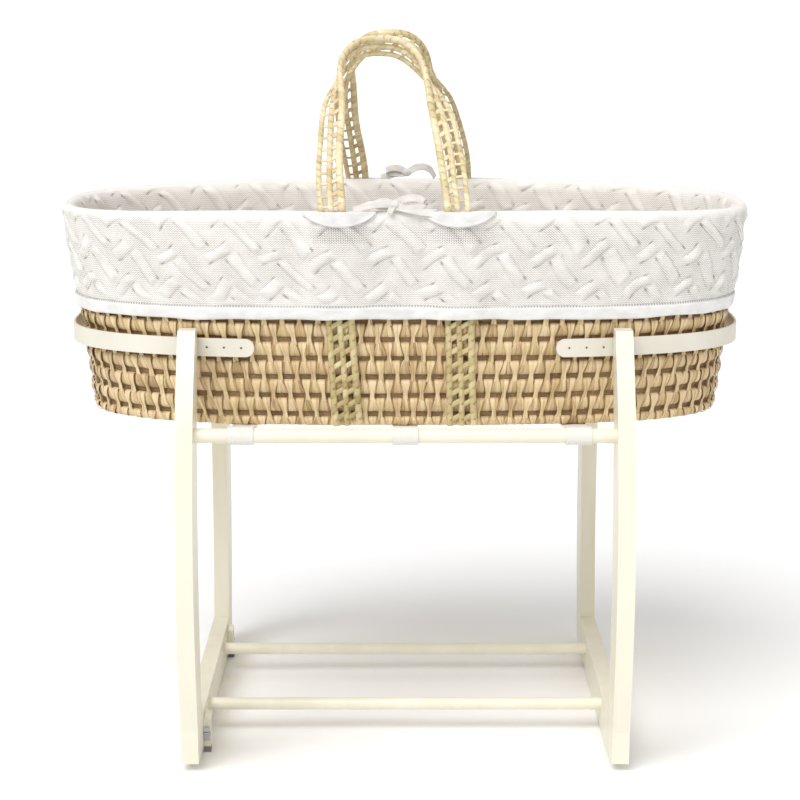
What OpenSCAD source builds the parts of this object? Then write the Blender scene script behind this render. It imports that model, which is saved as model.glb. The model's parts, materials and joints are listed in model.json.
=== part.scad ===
// Moses basket of woven palm leaf with a knitted dressing, carried on a rocking stand.
// Frame: X along the basket, -Y the front, +Z up, origin on the floor under the middle.

/* [Basket] */
// Outer length of the woven wall at its foot
wall_foot_length = 756; // [740:1:770]
// Outer width of the woven wall at its foot
wall_foot_width = 344; // [336:1:348]
// Outer length of the woven wall at its top
wall_top_length = 816; // [806:1:822]
// Outer width of the woven wall at its top
wall_top_width = 400; // [396:1:404]
// Thickness of the woven wall
wall_t = 9; // [6:0.5:10]
// Height of the basket floor's underside
basket_floor_z = 393.3; // [393.3:0.1:396]
// Height of the woven wall's top edge
wall_top_z = 612; // [608:1:616]
// Height of the rolled rim above the wall
rim_h = 22; // [18:1:22]
// Squareness of the oval plan, 2 is an ellipse
plan_power = 2.9; // [2.6:0.1:3]

/* [Carrying handles] */
// Width of the leaf band
band_w = 30; // [24:1:32]
// Thickness of the leaf band
band_t = 6.5; // [5:0.5:6.5]
// Length of a handle loop above its fold line
loop_h = 236; // [200:1:260]
// Lean of each loop towards the middle
loop_tilt = 40; // [30:1:42]
// Sideways lean of each loop at its top
loop_side = -19; // [-30:1:30]
// Roundness of the loop, 2 is an ellipse
loop_power = 2.7; // [2.4:0.1:4]

/* [Dressing] */
// Thickness of the knitted fabric
knit_t = 3.2; // [2:0.2:3.4]
// Lowest height of the hem at the front
hem_z = 522; // [518:1:530]
// Extra drop of the hem at the two ends
hem_drop = 4; // [0:1:14]
// Height of the plain hem band
hem_h = 16; // [10:1:20]

/* [Mattress] */
// Length of the mattress
mattress_length = 724; // [700:1:728]
// Width of the mattress
mattress_width = 300; // [280:1:306]
// Thickness of the mattress with its cover
mattress_t = 32; // [25:1:36]

/* [Stand] */
// Width of the stand over the legs
stand_length = 518; // [516:1:520]
// Thickness of the leg and rocker boards
board_t = 20; // [18:1:20]
// Height of the leg tops
leg_top_z = 509; // [504:1:510]
// Height of the rocker's top edge
rocker_top_z = 49; // [45:1:52]
// Rise of the rocker's curve at its ends
rocker_rise = 10; // [8:1:14]
// Radius of the upper rails
upper_rail_r = 8.5; // [8:0.5:9]
// Radius of the lower rails
lower_rail_r = 7.5; // [7:0.5:8]
// Width of the webbing slings under the basket
sling_w = 29; // [25:1:32]
// Thickness of the webbing slings
sling_t = 1.8; // [1.5:0.1:2]

/* [Straps] */
// Width of the end straps
strap_w = 21; // [18:1:22]
// Thickness of the end straps
strap_t = 2.5; // [2:0.1:2.5]
// Height of the strap's lower edge
strap_z = 476; // [474:1:480]
// Distance between adjustment holes
strap_hole_pitch = 20; // [15:1:22]

/* [Hardware] */
// Radius of the rail bolts
bolt_r = 3; // [2.5:0.5:3]
// Radius of the wooden dowel pins
dowel_r = 3.5; // [3:0.5:3.5]
// Radius of the wood screws
screw_r = 1.8; // [1.5:0.1:2]

/* [Hidden] */

// Colours
ivory = [0.96, 0.94, 0.86];
straw = [0.80, 0.68, 0.49];
pale_leaf = [0.84, 0.78, 0.56];
knit = [0.90, 0.89, 0.86];
white_tape = [0.96, 0.96, 0.95];
webbing = [0.93, 0.92, 0.88];
grey_rubber = [0.45, 0.45, 0.46];
steel = [0.65, 0.66, 0.68];
strap_cream = [0.91, 0.89, 0.84];
foam = [0.95, 0.93, 0.82];
beech = [0.79, 0.66, 0.48];

// Clearances
gap = 0.3;
fit = 0.05;
eps = 1;
smooth = 48;

// Places on the stand
leg_in_x = stand_length / 2 - board_t;
leg_mid_x = stand_length / 2 - board_t / 2;
upper_rail_y = 235;
upper_rail_z = 395;
lower_rail_y = 109;
lower_rail_z = 34;
rocker_end_y = 252;
rocker_corner_y = 255;
rocker_mid_r = (rocker_end_y * rocker_end_y + rocker_rise * rocker_rise) / (2 * rocker_rise);
sling_x = [-186, 0, 196];
sling_flat_y = 169.5;

// Bolts and barrel nuts
bolt_head_r = 5;
bolt_head_h = 4;
counterbore_h = 5;
bolt_length = 46;
nut_r = 4.8;
nut_back = 18;
nut_half = 5.5;

// Strap and screws
strap_end_length = 400;
strap_stand_off = 1.3;
strap_tail_x = 173;
strap_hole_r = 1.3;
strap_holes = 3;
strap_mid_z = strap_z + strap_w / 2;
screw_head_r = 3.5;
screw_head_h = 2;
strap_screw_y = 166.2;

// Rocking stops, all on the left rocker
stop_y = 185;
stop_w = 20;
stop_x = -leg_in_x;
stop_free_x = stop_x + 0.4;
stop_t = 8;
stop_hinge_z = 23.2;
stop_hinge_y = stop_y + 1.9;
stop_block_top = 45;
knuckle_r = 1.8;
pin_r = 0.8;
leaf_t = 1;
leaf_w = 7;
leaf_h = 7;
knuckle_w = leaf_w / 3;
tip_h = 7;

// Fold line of the handles
fold_y = 206;
fold_z = 648;
foot_x = [-82, 58];
band_foot_x = [-66, 66];
band_top_z = 640;
handle_steps = 48;

// Wall slope: outer half length and half width at a height
wall_mid_z = 500;
wall_mid_length = 780;
wall_mid_width = 372;
slope_top_z = 620;
function half_length(z) = lookup(z, [[basket_floor_z, wall_foot_length / 2],
    [wall_mid_z, wall_mid_length / 2], [slope_top_z, wall_top_length / 2]]);
function half_width(z) = lookup(z, [[basket_floor_z, wall_foot_width / 2],
    [wall_mid_z, wall_mid_width / 2], [slope_top_z, wall_top_width / 2]]);

// Oval plan as a radius at an angle
ring_steps = 96;
function plan_radius(a, b, ang) =
    pow(pow(abs(cos(ang)) / a, plan_power) + pow(abs(sin(ang)) / b, plan_power), -1 / plan_power);
function plan_point(a, b, ang) = plan_radius(a, b, ang) * [cos(ang), sin(ang)];
function oval(a, b) = [for (i = [0 : ring_steps - 1]) plan_point(a, b, i * 360 / ring_steps)];

// The dressing stands out over the four leaf bands; the rear pair is the front pair turned round
bulge_w = 34;
function band_x(i, z) = band_foot_x[i]
    + (foot_x[i] - band_foot_x[i]) * (z - basket_floor_z) / (band_top_z - basket_floor_z);
function bulge_at(x, z, i) = exp(-pow((x - band_x(i, z)) / bulge_w, 2));
function bulge(x, y, z) = max(bulge_at(y < 0 ? x : -x, z, 0), bulge_at(y < 0 ? x : -x, z, 1));

// Section points are [distance out from the wall line, height, share of bulge, share of hem drop]
function ring_point(p, ang) =
    let (z = p[1] - p[3] * hem_drop * cos(ang) * cos(ang),
         q = plan_point(half_length(z) + p[0], half_width(z) + p[0], ang))
    [q[0], q[1] + sign(sin(ang)) * p[2] * bulge(q[0], q[1], z), z];

// Faces of a swept skin between ring i and the next one
function skin(m, i, k) = [for (j = [0 : m - 1]) each [
    [i * m + j, k * m + (j + 1) % m, i * m + (j + 1) % m],
    [i * m + j, k * m + j, k * m + (j + 1) % m]]];

// Closed ring round the whole basket; the section runs up the outside and down the inside
module plan_ring(section) {
    m = len(section);
    polyhedron(
        points = [for (i = [0 : ring_steps - 1]) for (p = section) ring_point(p, i * 360 / ring_steps)],
        faces = [for (i = [0 : ring_steps - 1]) each skin(m, i, (i + 1) % ring_steps)]);
}

// Part of such a ring between two angles, with flat ends
module plan_arc(section, from, to, steps) {
    m = len(section);
    polyhedron(
        points = [for (i = [0 : steps]) for (p = section) ring_point(p, from + (to - from) * i / steps)],
        faces = concat(
            [for (i = [0 : steps - 1]) each skin(m, i, i + 1)],
            [[for (j = [0 : m - 1]) j]],
            [[for (j = [m - 1 : -1 : 0]) steps * m + j]]));
}

// Smooth curve through a few points
function hermite(a, b, c, d, u) =
    0.5 * (2 * b + (c - a) * u + (2 * a - 5 * b + 4 * c - d) * u * u + (3 * b - a - 3 * c + d) * u * u * u);
function curve(p, steps) = concat([for (i = [0 : len(p) - 2]) for (k = [0 : steps - 1])
    hermite(p[max(i - 1, 0)], p[i], p[i + 1], p[min(i + 2, len(p) - 1)], k / steps)], [p[len(p) - 1]]);
function reversed(p) = [for (i = [len(p) - 1 : -1 : 0]) p[i]];

// Draws its children for one side: side is -1 for left, 1 for right; end is -1 for front, 1 for rear
module on_side(side) {
    if (side < 0) mirror([1, 0, 0]) children();
    else children();
}
module on_end(end) {
    if (end > 0) mirror([0, 1, 0]) children();
    else children();
}

// Board of the side outline given in (Y, Z), standing between the two faces of a right-hand leg
module board(outline) {
    translate([leg_in_x, 0, 0]) rotate([90, 0, 90]) linear_extrude(board_t) polygon(outline);
}

// Rod along X
module rod_x(x0, x1, y, z, r) {
    translate([x0, y, z]) rotate([0, 90, 0]) cylinder(h = x1 - x0, r = r, $fn = smooth);
}
// Rod along Y
module rod_y(y0, y1, x, z, r) {
    translate([x, y0, z]) rotate([-90, 0, 0]) cylinder(h = y1 - y0, r = r, $fn = smooth);
}
// Rod along Z
module rod_z(z0, z1, x, y, r) {
    translate([x, y, z0]) cylinder(h = z1 - z0, r = r, $fn = smooth);
}

// ---- Stand ----

// Outline of a front leg: the face turned outwards, then the face turned to the basket
leg_outer = [[-rocker_corner_y, rocker_top_z], [-269, 120], [-278, 210], [-273, 300], [-255, 395],
    [-232, 450], [-200, leg_top_z]];
leg_inner = [[-201, rocker_top_z], [-211, 120], [-215, 200], [-212, 280], [-206, 340], [-199, 395],
    [-188, 440], [-178, 475], [-177, leg_top_z]];
curve_steps = 6;
leg_outline = concat(curve(leg_outer, curve_steps), reversed(curve(leg_inner, curve_steps)));
dowel_y = [-216, -240];
dowel_z0 = 33;
dowel_z1 = 65;

module bolt_hole(y, z) {
    rod_x(leg_in_x - eps, stand_length / 2 + eps, y, z, bolt_r + fit);
    rod_x(stand_length / 2 - counterbore_h, stand_length / 2 + eps, y, z, bolt_head_r + gap);
}

module leg_board() {
    difference() {
        board(leg_outline);
        bolt_hole(-upper_rail_y, upper_rail_z);
        for (y = dowel_y) translate([leg_mid_x, y, 0]) dowel_hole();
        rod_y(-195, -150, leg_mid_x, strap_mid_z, screw_r + fit);
    }
}
module dowel_hole() {
    translate([0, 0, dowel_z0 - fit]) cylinder(h = dowel_z1 - dowel_z0 + 2 * fit, r = dowel_r + fit, $fn = smooth);
}
module front_left_leg() { color(ivory) on_side(-1) leg_board(); }
module front_right_leg() { color(ivory) leg_board(); }
module rear_left_leg() { color(ivory) on_end(1) on_side(-1) leg_board(); }
module rear_right_leg() { color(ivory) on_end(1) leg_board(); }

// Rocker: flat top edge, sloping ends, one long arc underneath
arc_half = asin(rocker_end_y / rocker_mid_r);
arc_steps = 24;
rocker_arc = [for (i = [0 : arc_steps])
    let (a = -arc_half + 2 * arc_half * i / arc_steps)
    [rocker_mid_r * sin(a), rocker_mid_r * (1 - cos(a))]];
rocker_outline = concat(rocker_arc, [[rocker_corner_y, rocker_top_z], [-rocker_corner_y, rocker_top_z]]);

module rocker_board() {
    difference() {
        board(rocker_outline);
        for (end = [-1, 1]) {
            bolt_hole(end * lower_rail_y, lower_rail_z);
            for (y = dowel_y) translate([leg_mid_x, end * y, 0]) dowel_hole();
        }
    }
}
module left_rocker() {
    color(ivory) difference() {
        on_side(-1) rocker_board();
        for (end = [-1, 1]) for (y = stop_screw_y)
            rod_x(stop_x - 12, stop_x + eps, end * y, stop_screw_z, screw_r + fit);
    }
}
module right_rocker() { color(ivory) rocker_board(); }

// Rails with a bolt hole in each end and a blind hole from below for its barrel nut
module rail(y, z, r) {
    difference() {
        rod_x(-leg_in_x, leg_in_x, y, z, r);
        for (side = [-1, 1]) on_side(side) {
            rod_x(leg_in_x - bolt_length, leg_in_x + eps, y, z, bolt_r + fit);
            rod_z(z - r - eps, z + nut_half + fit, leg_in_x - nut_back, y, nut_r + fit);
        }
    }
}
module front_upper_rail() { color(ivory) rail(-upper_rail_y, upper_rail_z, upper_rail_r); }
module rear_upper_rail() { color(ivory) rail(upper_rail_y, upper_rail_z, upper_rail_r); }
module front_lower_rail() { color(ivory) rail(-lower_rail_y, lower_rail_z, lower_rail_r); }
module rear_lower_rail() { color(ivory) rail(lower_rail_y, lower_rail_z, lower_rail_r); }

// Webbing slings: a loop round each upper rail and a band that dips to pass under the basket
sling_r = upper_rail_r + fit + sling_t;
sling_top_z = basket_floor_z - gap;
sling_reach = [upper_rail_y - sling_flat_y, upper_rail_z - sling_top_z];
sling_slope = atan2(sling_reach[1], sling_reach[0]) + asin(sling_r / norm(sling_reach));
function sling_leaves(end, r) =
    [end * (upper_rail_y - r * sin(sling_slope)), upper_rail_z + r * cos(sling_slope)];
sling_band = [
    sling_leaves(-1, sling_r), [-sling_flat_y, sling_top_z], [sling_flat_y, sling_top_z],
    sling_leaves(1, sling_r), sling_leaves(1, sling_r - sling_t), [sling_flat_y, sling_top_z - sling_t],
    [-sling_flat_y, sling_top_z - sling_t], sling_leaves(-1, sling_r - sling_t)];

module sling(i) {
    x0 = sling_x[i] - sling_w / 2;
    color(webbing) difference() {
        union() {
            for (end = [-1, 1]) rod_x(x0, x0 + sling_w, end * upper_rail_y, upper_rail_z, sling_r);
            translate([x0, 0, 0]) rotate([90, 0, 90]) linear_extrude(sling_w) polygon(sling_band);
        }
        for (end = [-1, 1])
            rod_x(x0 - eps, x0 + sling_w + eps, end * upper_rail_y, upper_rail_z, upper_rail_r + fit);
    }
}
module left_sling() { sling(0); }
module centre_sling() { sling(1); }
module right_sling() { sling(2); }

// Places of the four rails, as [Y, Z]
rail_places = [for (end = [-1, 1]) each [[end * upper_rail_y, upper_rail_z], [end * lower_rail_y, lower_rail_z]]];
bolt_seat_x = stand_length / 2 - counterbore_h;
bolt_tip_x = bolt_seat_x - bolt_length;

module rail_bolts() {
    color(steel) for (side = [-1, 1]) on_side(side) for (p = rail_places) difference() {
        union() {
            rod_x(bolt_tip_x, bolt_seat_x + eps, p[0], p[1], bolt_r);
            rod_x(bolt_seat_x, bolt_seat_x + bolt_head_h, p[0], p[1], bolt_head_r);
        }
        translate([bolt_seat_x + bolt_head_h - 2.5, p[0], p[1]]) rotate([0, 90, 0])
            cylinder(h = 5, r = 2.3, $fn = 6);
    }
}
module barrel_nuts() {
    color(steel) for (side = [-1, 1]) on_side(side) for (p = rail_places) difference() {
        rod_z(p[1] - nut_half, p[1] + nut_half, leg_in_x - nut_back, p[0], nut_r);
        rod_x(leg_in_x - nut_back - 2 * nut_r, leg_in_x, p[0], p[1], bolt_r + fit);
    }
}
module leg_dowel_pins() {
    color(beech) for (side = [-1, 1], end = [-1, 1], y = dowel_y)
        translate([side * leg_mid_x, end * y, dowel_z0]) cylinder(h = dowel_z1 - dowel_z0, r = dowel_r, $fn = smooth);
}

// ---- Straps round the basket ends ----

strap_reach = 52;
strap_in_a = strap_end_length;
strap_in_b = half_width(strap_z + strap_w) + strap_stand_off;
strap_band = concat(
    [for (i = [-ring_steps / 2 : ring_steps / 2])
        plan_point(strap_in_a + strap_t, strap_in_b + strap_t, strap_reach * 2 * i / ring_steps)],
    [for (i = [ring_steps / 2 : -1 : -ring_steps / 2])
        plan_point(strap_in_a, strap_in_b, strap_reach * 2 * i / ring_steps)]);

module strap() {
    color(strap_cream) difference() {
        intersection() {
            translate([0, 0, strap_z]) linear_extrude(strap_w) polygon(strap_band);
            union() {
                translate([strap_tail_x + strap_w / 2, -250, strap_z]) cube([300, 500, strap_w]);
                rod_y(-250, 250, strap_tail_x + strap_w / 2, strap_mid_z, strap_w / 2);
            }
        }
        for (i = [0 : strap_holes - 1])
            rod_y(-250, 250, strap_tail_x + strap_w * 0.72 + i * strap_hole_pitch, strap_mid_z, strap_hole_r);
        rod_y(-250, 250, leg_mid_x, strap_mid_z, screw_r + fit);
    }
}
module left_strap() { on_side(-1) strap(); }
module right_strap() { strap(); }

module strap_screws() {
    color(steel) for (side = [-1, 1], end = [-1, 1]) on_end(end) on_side(side) {
        rod_y(-192, -strap_screw_y, leg_mid_x, strap_mid_z, screw_r);
        rod_y(-strap_screw_y - screw_head_h, -strap_screw_y, leg_mid_x, strap_mid_z, screw_head_r);
    }
}

// ---- Rocking stops: a small foot hinged under a block on the left rocker ----

stop_screw_y = [stop_y - 15, stop_y - 5];
stop_screw_z = 36;
leaf_screw_r = 1.1;
leaf_screw_length = 8;
leaf_screw_x = stop_x + 3.9;
fixed_screw_z = stop_hinge_z + 5.8;
moving_screw_z = stop_hinge_z - 5.8;

// All stop pieces are drawn for the front stop
module stop_slab(outline, x0) {
    translate([x0, 0, 0]) rotate([90, 0, 90]) linear_extrude(stop_t) polygon(outline);
}
module leaf_screw_hole(z) {
    rod_y(-stop_y - leaf_t - eps, -stop_y + leaf_screw_length, leaf_screw_x, z, leaf_screw_r + fit);
}
module stop_block() {
    color(ivory) difference() {
        stop_slab([[-stop_y, stop_hinge_z + gap], [-stop_y + stop_w, stop_hinge_z + gap],
            [-stop_y + stop_w, stop_block_top - 4], [-stop_y + stop_w - 4, stop_block_top],
            [-stop_y + 4, stop_block_top], [-stop_y, stop_block_top - 4]], stop_x);
        for (y = stop_screw_y) {
            rod_x(stop_x - eps, stop_x + stop_t + eps, -y, stop_screw_z, screw_r + fit);
            rod_x(stop_x + stop_t - screw_head_h, stop_x + stop_t + eps, -y, stop_screw_z, screw_head_r + fit);
        }
        leaf_screw_hole(fixed_screw_z);
    }
}
module front_stop_block() { stop_block(); }
module rear_stop_block() { on_end(1) stop_block(); }

module stop_block_screws() {
    color(steel) for (end = [-1, 1]) for (y = stop_screw_y) {
        rod_x(stop_x - 11, stop_x + stop_t - screw_head_h + 0.5, end * y, stop_screw_z, screw_r);
        rod_x(stop_x + stop_t - screw_head_h + fit, stop_x + stop_t, end * y, stop_screw_z, screw_head_r);
    }
}

// One leaf: a plate with its own knuckles; up is 1 for the fixed leaf, -1 for the moving one
module leaf(up, knuckles, screw_z) {
    plate_z0 = up > 0 ? stop_hinge_z + knuckle_r + gap : stop_hinge_z - knuckle_r - gap - leaf_h;
    color(steel) difference() {
        union() {
            translate([stop_free_x, -stop_y - leaf_t, plate_z0]) cube([leaf_w, leaf_t, leaf_h]);
            for (k = knuckles) {
                x0 = stop_free_x + k * knuckle_w + 0.1;
                rod_x(x0, x0 + knuckle_w - 0.2, -stop_hinge_y, stop_hinge_z, knuckle_r);
                translate([x0, -stop_y - leaf_t, stop_hinge_z - (up > 0 ? 0 : leaf_h / 2)])
                    cube([knuckle_w - 0.2, leaf_t, leaf_h / 2]);
            }
        }
        rod_x(stop_x, stop_x + leaf_w + eps, -stop_hinge_y, stop_hinge_z, pin_r + fit);
        leaf_screw_hole(screw_z);
    }
}
module fixed_leaf() { leaf(1, [0, 2], fixed_screw_z); }
module moving_leaf() { leaf(-1, [1], moving_screw_z); }
module front_stop_fixed_leaf() { fixed_leaf(); }
module rear_stop_fixed_leaf() { on_end(1) fixed_leaf(); }
module front_stop_moving_leaf() { moving_leaf(); }
module rear_stop_moving_leaf() { on_end(1) moving_leaf(); }

module stop_pin() {
    color(steel) {
        rod_x(stop_free_x, stop_free_x + leaf_w + 0.5, -stop_hinge_y, stop_hinge_z, pin_r);
        rod_x(stop_free_x + leaf_w + fit, stop_free_x + leaf_w + 1.2, -stop_hinge_y, stop_hinge_z, pin_r + 0.5);
    }
}
module front_stop_pin() { stop_pin(); }
module rear_stop_pin() { on_end(1) stop_pin(); }

module leaf_screw(z) {
    color(steel) {
        rod_y(-stop_y - leaf_t - 0.5, -stop_y + leaf_screw_length - 1, leaf_screw_x, z, leaf_screw_r);
        rod_y(-stop_y - leaf_t - 0.9, -stop_y - leaf_t - fit, leaf_screw_x, z, 2 * leaf_screw_r);
    }
}
module fixed_leaf_screws() { for (end = [-1, 1]) on_end(end) leaf_screw(fixed_screw_z); }
module front_leaf_screws() { leaf_screw(moving_screw_z); }
module rear_leaf_screws() { on_end(1) leaf_screw(moving_screw_z); }

module stop_foot() {
    color(ivory) difference() {
        stop_slab([[-stop_y, tip_h], [-stop_y + 11, tip_h], [-stop_y + stop_w, tip_h + 9],
            [-stop_y + stop_w, stop_hinge_z - gap], [-stop_y, stop_hinge_z - gap]], stop_free_x);
        leaf_screw_hole(moving_screw_z);
    }
}
module front_stop_foot() { stop_foot(); }
module rear_stop_foot() { on_end(1) stop_foot(); }

module stop_tip() {
    color(grey_rubber)
        stop_slab([[-stop_y, 0], [-stop_y + 7, 0], [-stop_y + 9.5, 1.5], [-stop_y + 11, tip_h],
            [-stop_y, tip_h]], stop_free_x);
}
module front_stop_tip() { stop_tip(); }
module rear_stop_tip() { on_end(1) stop_tip(); }

// ---- Basket ----

module basket_wall() {
    levels = [397, 410, 440, 480, 520, 560, 600];
    color(straw) plan_ring(concat(
        [[-3, basket_floor_z, 0, 0]],
        [for (z = levels) [0, z, 0, 0]],
        [[0, wall_top_z, 0, 0], [-wall_t, wall_top_z, 0, 0]],
        [for (z = reversed(levels)) [-wall_t, z, 0, 0]],
        [[-wall_t, basket_floor_z, 0, 0]]));
}
module basket_floor() {
    color(straw) translate([0, 0, basket_floor_z]) linear_extrude(8)
        polygon(oval(wall_foot_length / 2 - wall_t - gap, wall_foot_width / 2 - wall_t - gap));
}
module basket_rim() {
    mid = (1 - 13) / 2;
    color(pale_leaf) plan_ring([for (i = [0 : 9])
        let (a = -90 + 36 * i)
        [mid + 7 * cos(a), wall_top_z + gap + rim_h / 2 * (1 + sin(a)), 0, 0]]);
}

// Leaf band up the outside of the wall, drawn for the front
module wall_band(i) {
    slant = atan((foot_x[i] - band_foot_x[i]) / (band_top_z - basket_floor_z));
    mid_x = (foot_x[i] + band_foot_x[i]) / 2;
    mid_z = (band_top_z + basket_floor_z) / 2;
    low_y = half_width(basket_floor_z) + gap;
    mid_y = half_width(wall_mid_z) + gap;
    top_y = half_width(slope_top_z) + 2 * gap + 0.5;
    color(pale_leaf) translate([mid_x, 0, mid_z]) rotate([0, slant, 0]) translate([-band_w / 2, 0, -mid_z])
        rotate([90, 0, 90]) linear_extrude(band_w) polygon([
            [-low_y, basket_floor_z + 1], [-mid_y, wall_mid_z], [-top_y, slope_top_z], [-top_y, band_top_z],
            [-top_y - band_t, band_top_z], [-top_y - band_t, slope_top_z], [-mid_y - band_t, wall_mid_z],
            [-low_y - band_t, basket_floor_z + 1]]);
}
module front_left_band() { wall_band(0); }
module front_right_band() { wall_band(1); }
module rear_left_band() { rotate([0, 0, 180]) wall_band(1); }
module rear_right_band() { rotate([0, 0, 180]) wall_band(0); }

// ---- Knitted dressing ----

in_off = 1;
out_off = in_off + knit_t;
lift = 9;
crest_z = wall_top_z + rim_h + 7.5;
slot_z = wall_top_z - 4;

// Opening in the crest for one handle foot
module handle_slot(i) {
    translate([foot_x[i] - band_w / 2 - 3, -half_width(slope_top_z) - 10, slot_z])
        cube([band_w + 6, 30, 60]);
}
module all_slots() {
    for (turn = [0, 180], i = [0, 1]) rotate([0, 0, turn]) handle_slot(i);
}
module dressing_skirt() {
    foot = hem_z + hem_h;
    color(knit) difference() {
        plan_ring([
            [out_off, foot, lift, 1], [out_off, foot + 22, lift, 0.5], [out_off, 580, lift, 0],
            [out_off + 1, 612, lift, 0], [out_off + 0.6, 628, lift - 1, 0], [out_off - 1.2, 636, lift - 3, 0],
            [0, crest_z - 0.6, 3, 0], [-3.2, crest_z, 0, 0], [-3.2, crest_z - knit_t, 0, 0],
            [0, crest_z - knit_t - 0.6, 3, 0], [out_off - knit_t, 630, lift - 2, 0], [in_off + 1, 612, lift, 0],
            [in_off, 580, lift, 0], [in_off, foot + 22, lift, 0.5], [in_off, foot, lift, 1]]);
        all_slots();
    }
}
module dressing_hem() {
    foot = hem_z;
    top = hem_z + hem_h - 0.1;
    color(white_tape) plan_ring([
        [in_off + 0.6, foot, lift, 1], [out_off + 0.6, foot, lift, 1], [out_off + 1, foot + 3, lift, 1],
        [out_off + 1, top - 3, lift, 1], [out_off, top, lift, 1], [in_off, top, lift, 1]]);
}
module dressing_lining() {
    far = -wall_t - 0.8;
    low = basket_floor_z + 9.5;
    color(knit) plan_ring([
        [far, low, 0, 0], [far, 470, 0, 0], [far, 540, 0, 0], [far, 600, 0, 0], [-14.4, 611, 0, 0],
        [-14.4, 630, 0, 0], [-11, 636.4, 0, 0], [-3.6, crest_z - knit_t + 0.3, 0, 0], [-3.6, crest_z, 0, 0],
        [-11, crest_z - 0.8, 0, 0], [-16, 636, 0, 0], [-14.4 - knit_t, 630, 0, 0], [-14.4 - knit_t, 611, 0, 0],
        [far - knit_t, 600, 0, 0], [far - knit_t, 540, 0, 0], [far - knit_t, 470, 0, 0],
        [far - knit_t, low, 0, 0]]);
}

// White facing sewn to the outside of the crest in front of a handle foot
binding_length = 84;
module slot_binding(i) {
    x = foot_x[i];
    y = -half_width(slope_top_z) - 8;
    from = atan2(y, x - binding_length / 2);
    to = atan2(y, x + binding_length / 2);
    o = out_off + 1 + gap;
    color(white_tape) plan_arc([
        [o, 616, lift, 0], [o + 1.4, 618, lift, 0], [o + 1.2, 629, lift - 1, 0], [o - 1, 636, lift - 2.6, 0],
        [o - 1.6, 635.4, lift - 2.9, 0], [o - 0.1, 628.4, lift - 1, 0]], from, to, 12);
}
module front_left_slot_binding() { slot_binding(0); }
module front_right_slot_binding() { slot_binding(1); }
module rear_left_slot_binding() { rotate([0, 0, 180]) slot_binding(1); }
module rear_right_slot_binding() { rotate([0, 0, 180]) slot_binding(0); }

// Flat ribbon bow on the crest, drawn for the front: two loops, two tails and a knot
bow_x = -10;
module ribbon(length, width, thick, x, z, turn) {
    translate([bow_x + x, -half_width(slope_top_z), crest_z + z]) rotate([0, turn, 0])
        translate([-length / 2, -width / 2, -thick / 2]) cube([length, width, thick]);
}
module bow() {
    color(white_tape) union() {
        ribbon(12, 11, 9, 0, 6.5, 0);
        ribbon(30, 11, 5, -17, 6.5, 8);
        ribbon(34, 11, 6, 19, 7, -8);
        ribbon(28, 9, 2, -32, 3.5, -6);
        ribbon(26, 9, 2, 37, 3, 6);
    }
}
module front_bow() { bow(); }
module rear_bow() { rotate([0, 0, 180]) bow(); }

// ---- Handle loops, folding about a line along X just above the crest ----

foot_half = (foot_x[1] - foot_x[0]) / 2;
foot_mid = (foot_x[1] + foot_x[0]) / 2;
function signed_pow(v, e) = sign(v) * pow(abs(v), e);
function loop_at(s) = let (h = loop_h * pow(sin(s), 2 / loop_power))
    [-foot_half * signed_pow(cos(s), 2 / loop_power), h];
// Turn of the band: flat across at the feet, on edge over the top
function loop_turn(s) = let (u = min(max((loop_at(s)[1] / loop_h - 0.45) / 0.5, 0), 1)) 90 * u * u * (3 - 2 * u);
function loop_ring(s, mid, side) =
    let (c = loop_at(s),
         d = loop_at(min(s + 0.5, 180)) - loop_at(max(s - 0.5, 0)),
         t = d / norm(d),
         w = loop_turn(s),
         across = [-t[1] * cos(w), sin(w), t[0] * cos(w)],
         through = [t[1] * sin(w), cos(w), -t[0] * sin(w)])
    [for (k = [[-1, -1], [1, -1], [1, 1], [-1, 1]])
        [mid + c[0] + side * c[1] / loop_h, 0, c[1]] + across * k[0] * band_w / 2 + through * k[1] * band_t / 2];

module loop(mid, side) {
    rings = [for (i = [0 : handle_steps]) loop_ring(180 * i / handle_steps, mid, side)];
    color(pale_leaf) polyhedron(
        points = [for (r = rings) each r],
        faces = concat(
            [for (i = [0 : handle_steps - 1]) each skin(4, i, i + 1)],
            [[0, 1, 2, 3], [for (j = [3 : -1 : 0]) handle_steps * 4 + j]]));
}
module front_handle() {
    translate([0, -fold_y, fold_z]) rotate([-loop_tilt, 0, 0]) loop(foot_mid, loop_side);
}
module rear_handle() {
    translate([0, fold_y, fold_z]) rotate([loop_tilt, 0, 0]) loop(-foot_mid, loop_side);
}

// ---- Mattress ----

mattress_z = basket_floor_z + 8.5;
cover_t = 2;
module mattress_core() {
    color(foam) translate([0, 0, mattress_z]) linear_extrude(mattress_t - cover_t - 0.1)
        polygon(oval(mattress_length / 2 - cover_t - 0.1, mattress_width / 2 - cover_t - 0.1));
}
module mattress_cover() {
    color(white_tape) difference() {
        translate([0, 0, mattress_z]) linear_extrude(mattress_t)
            polygon(oval(mattress_length / 2, mattress_width / 2));
        translate([0, 0, mattress_z - eps]) linear_extrude(mattress_t - cover_t + eps)
            polygon(oval(mattress_length / 2 - cover_t, mattress_width / 2 - cover_t));
    }
}

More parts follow.
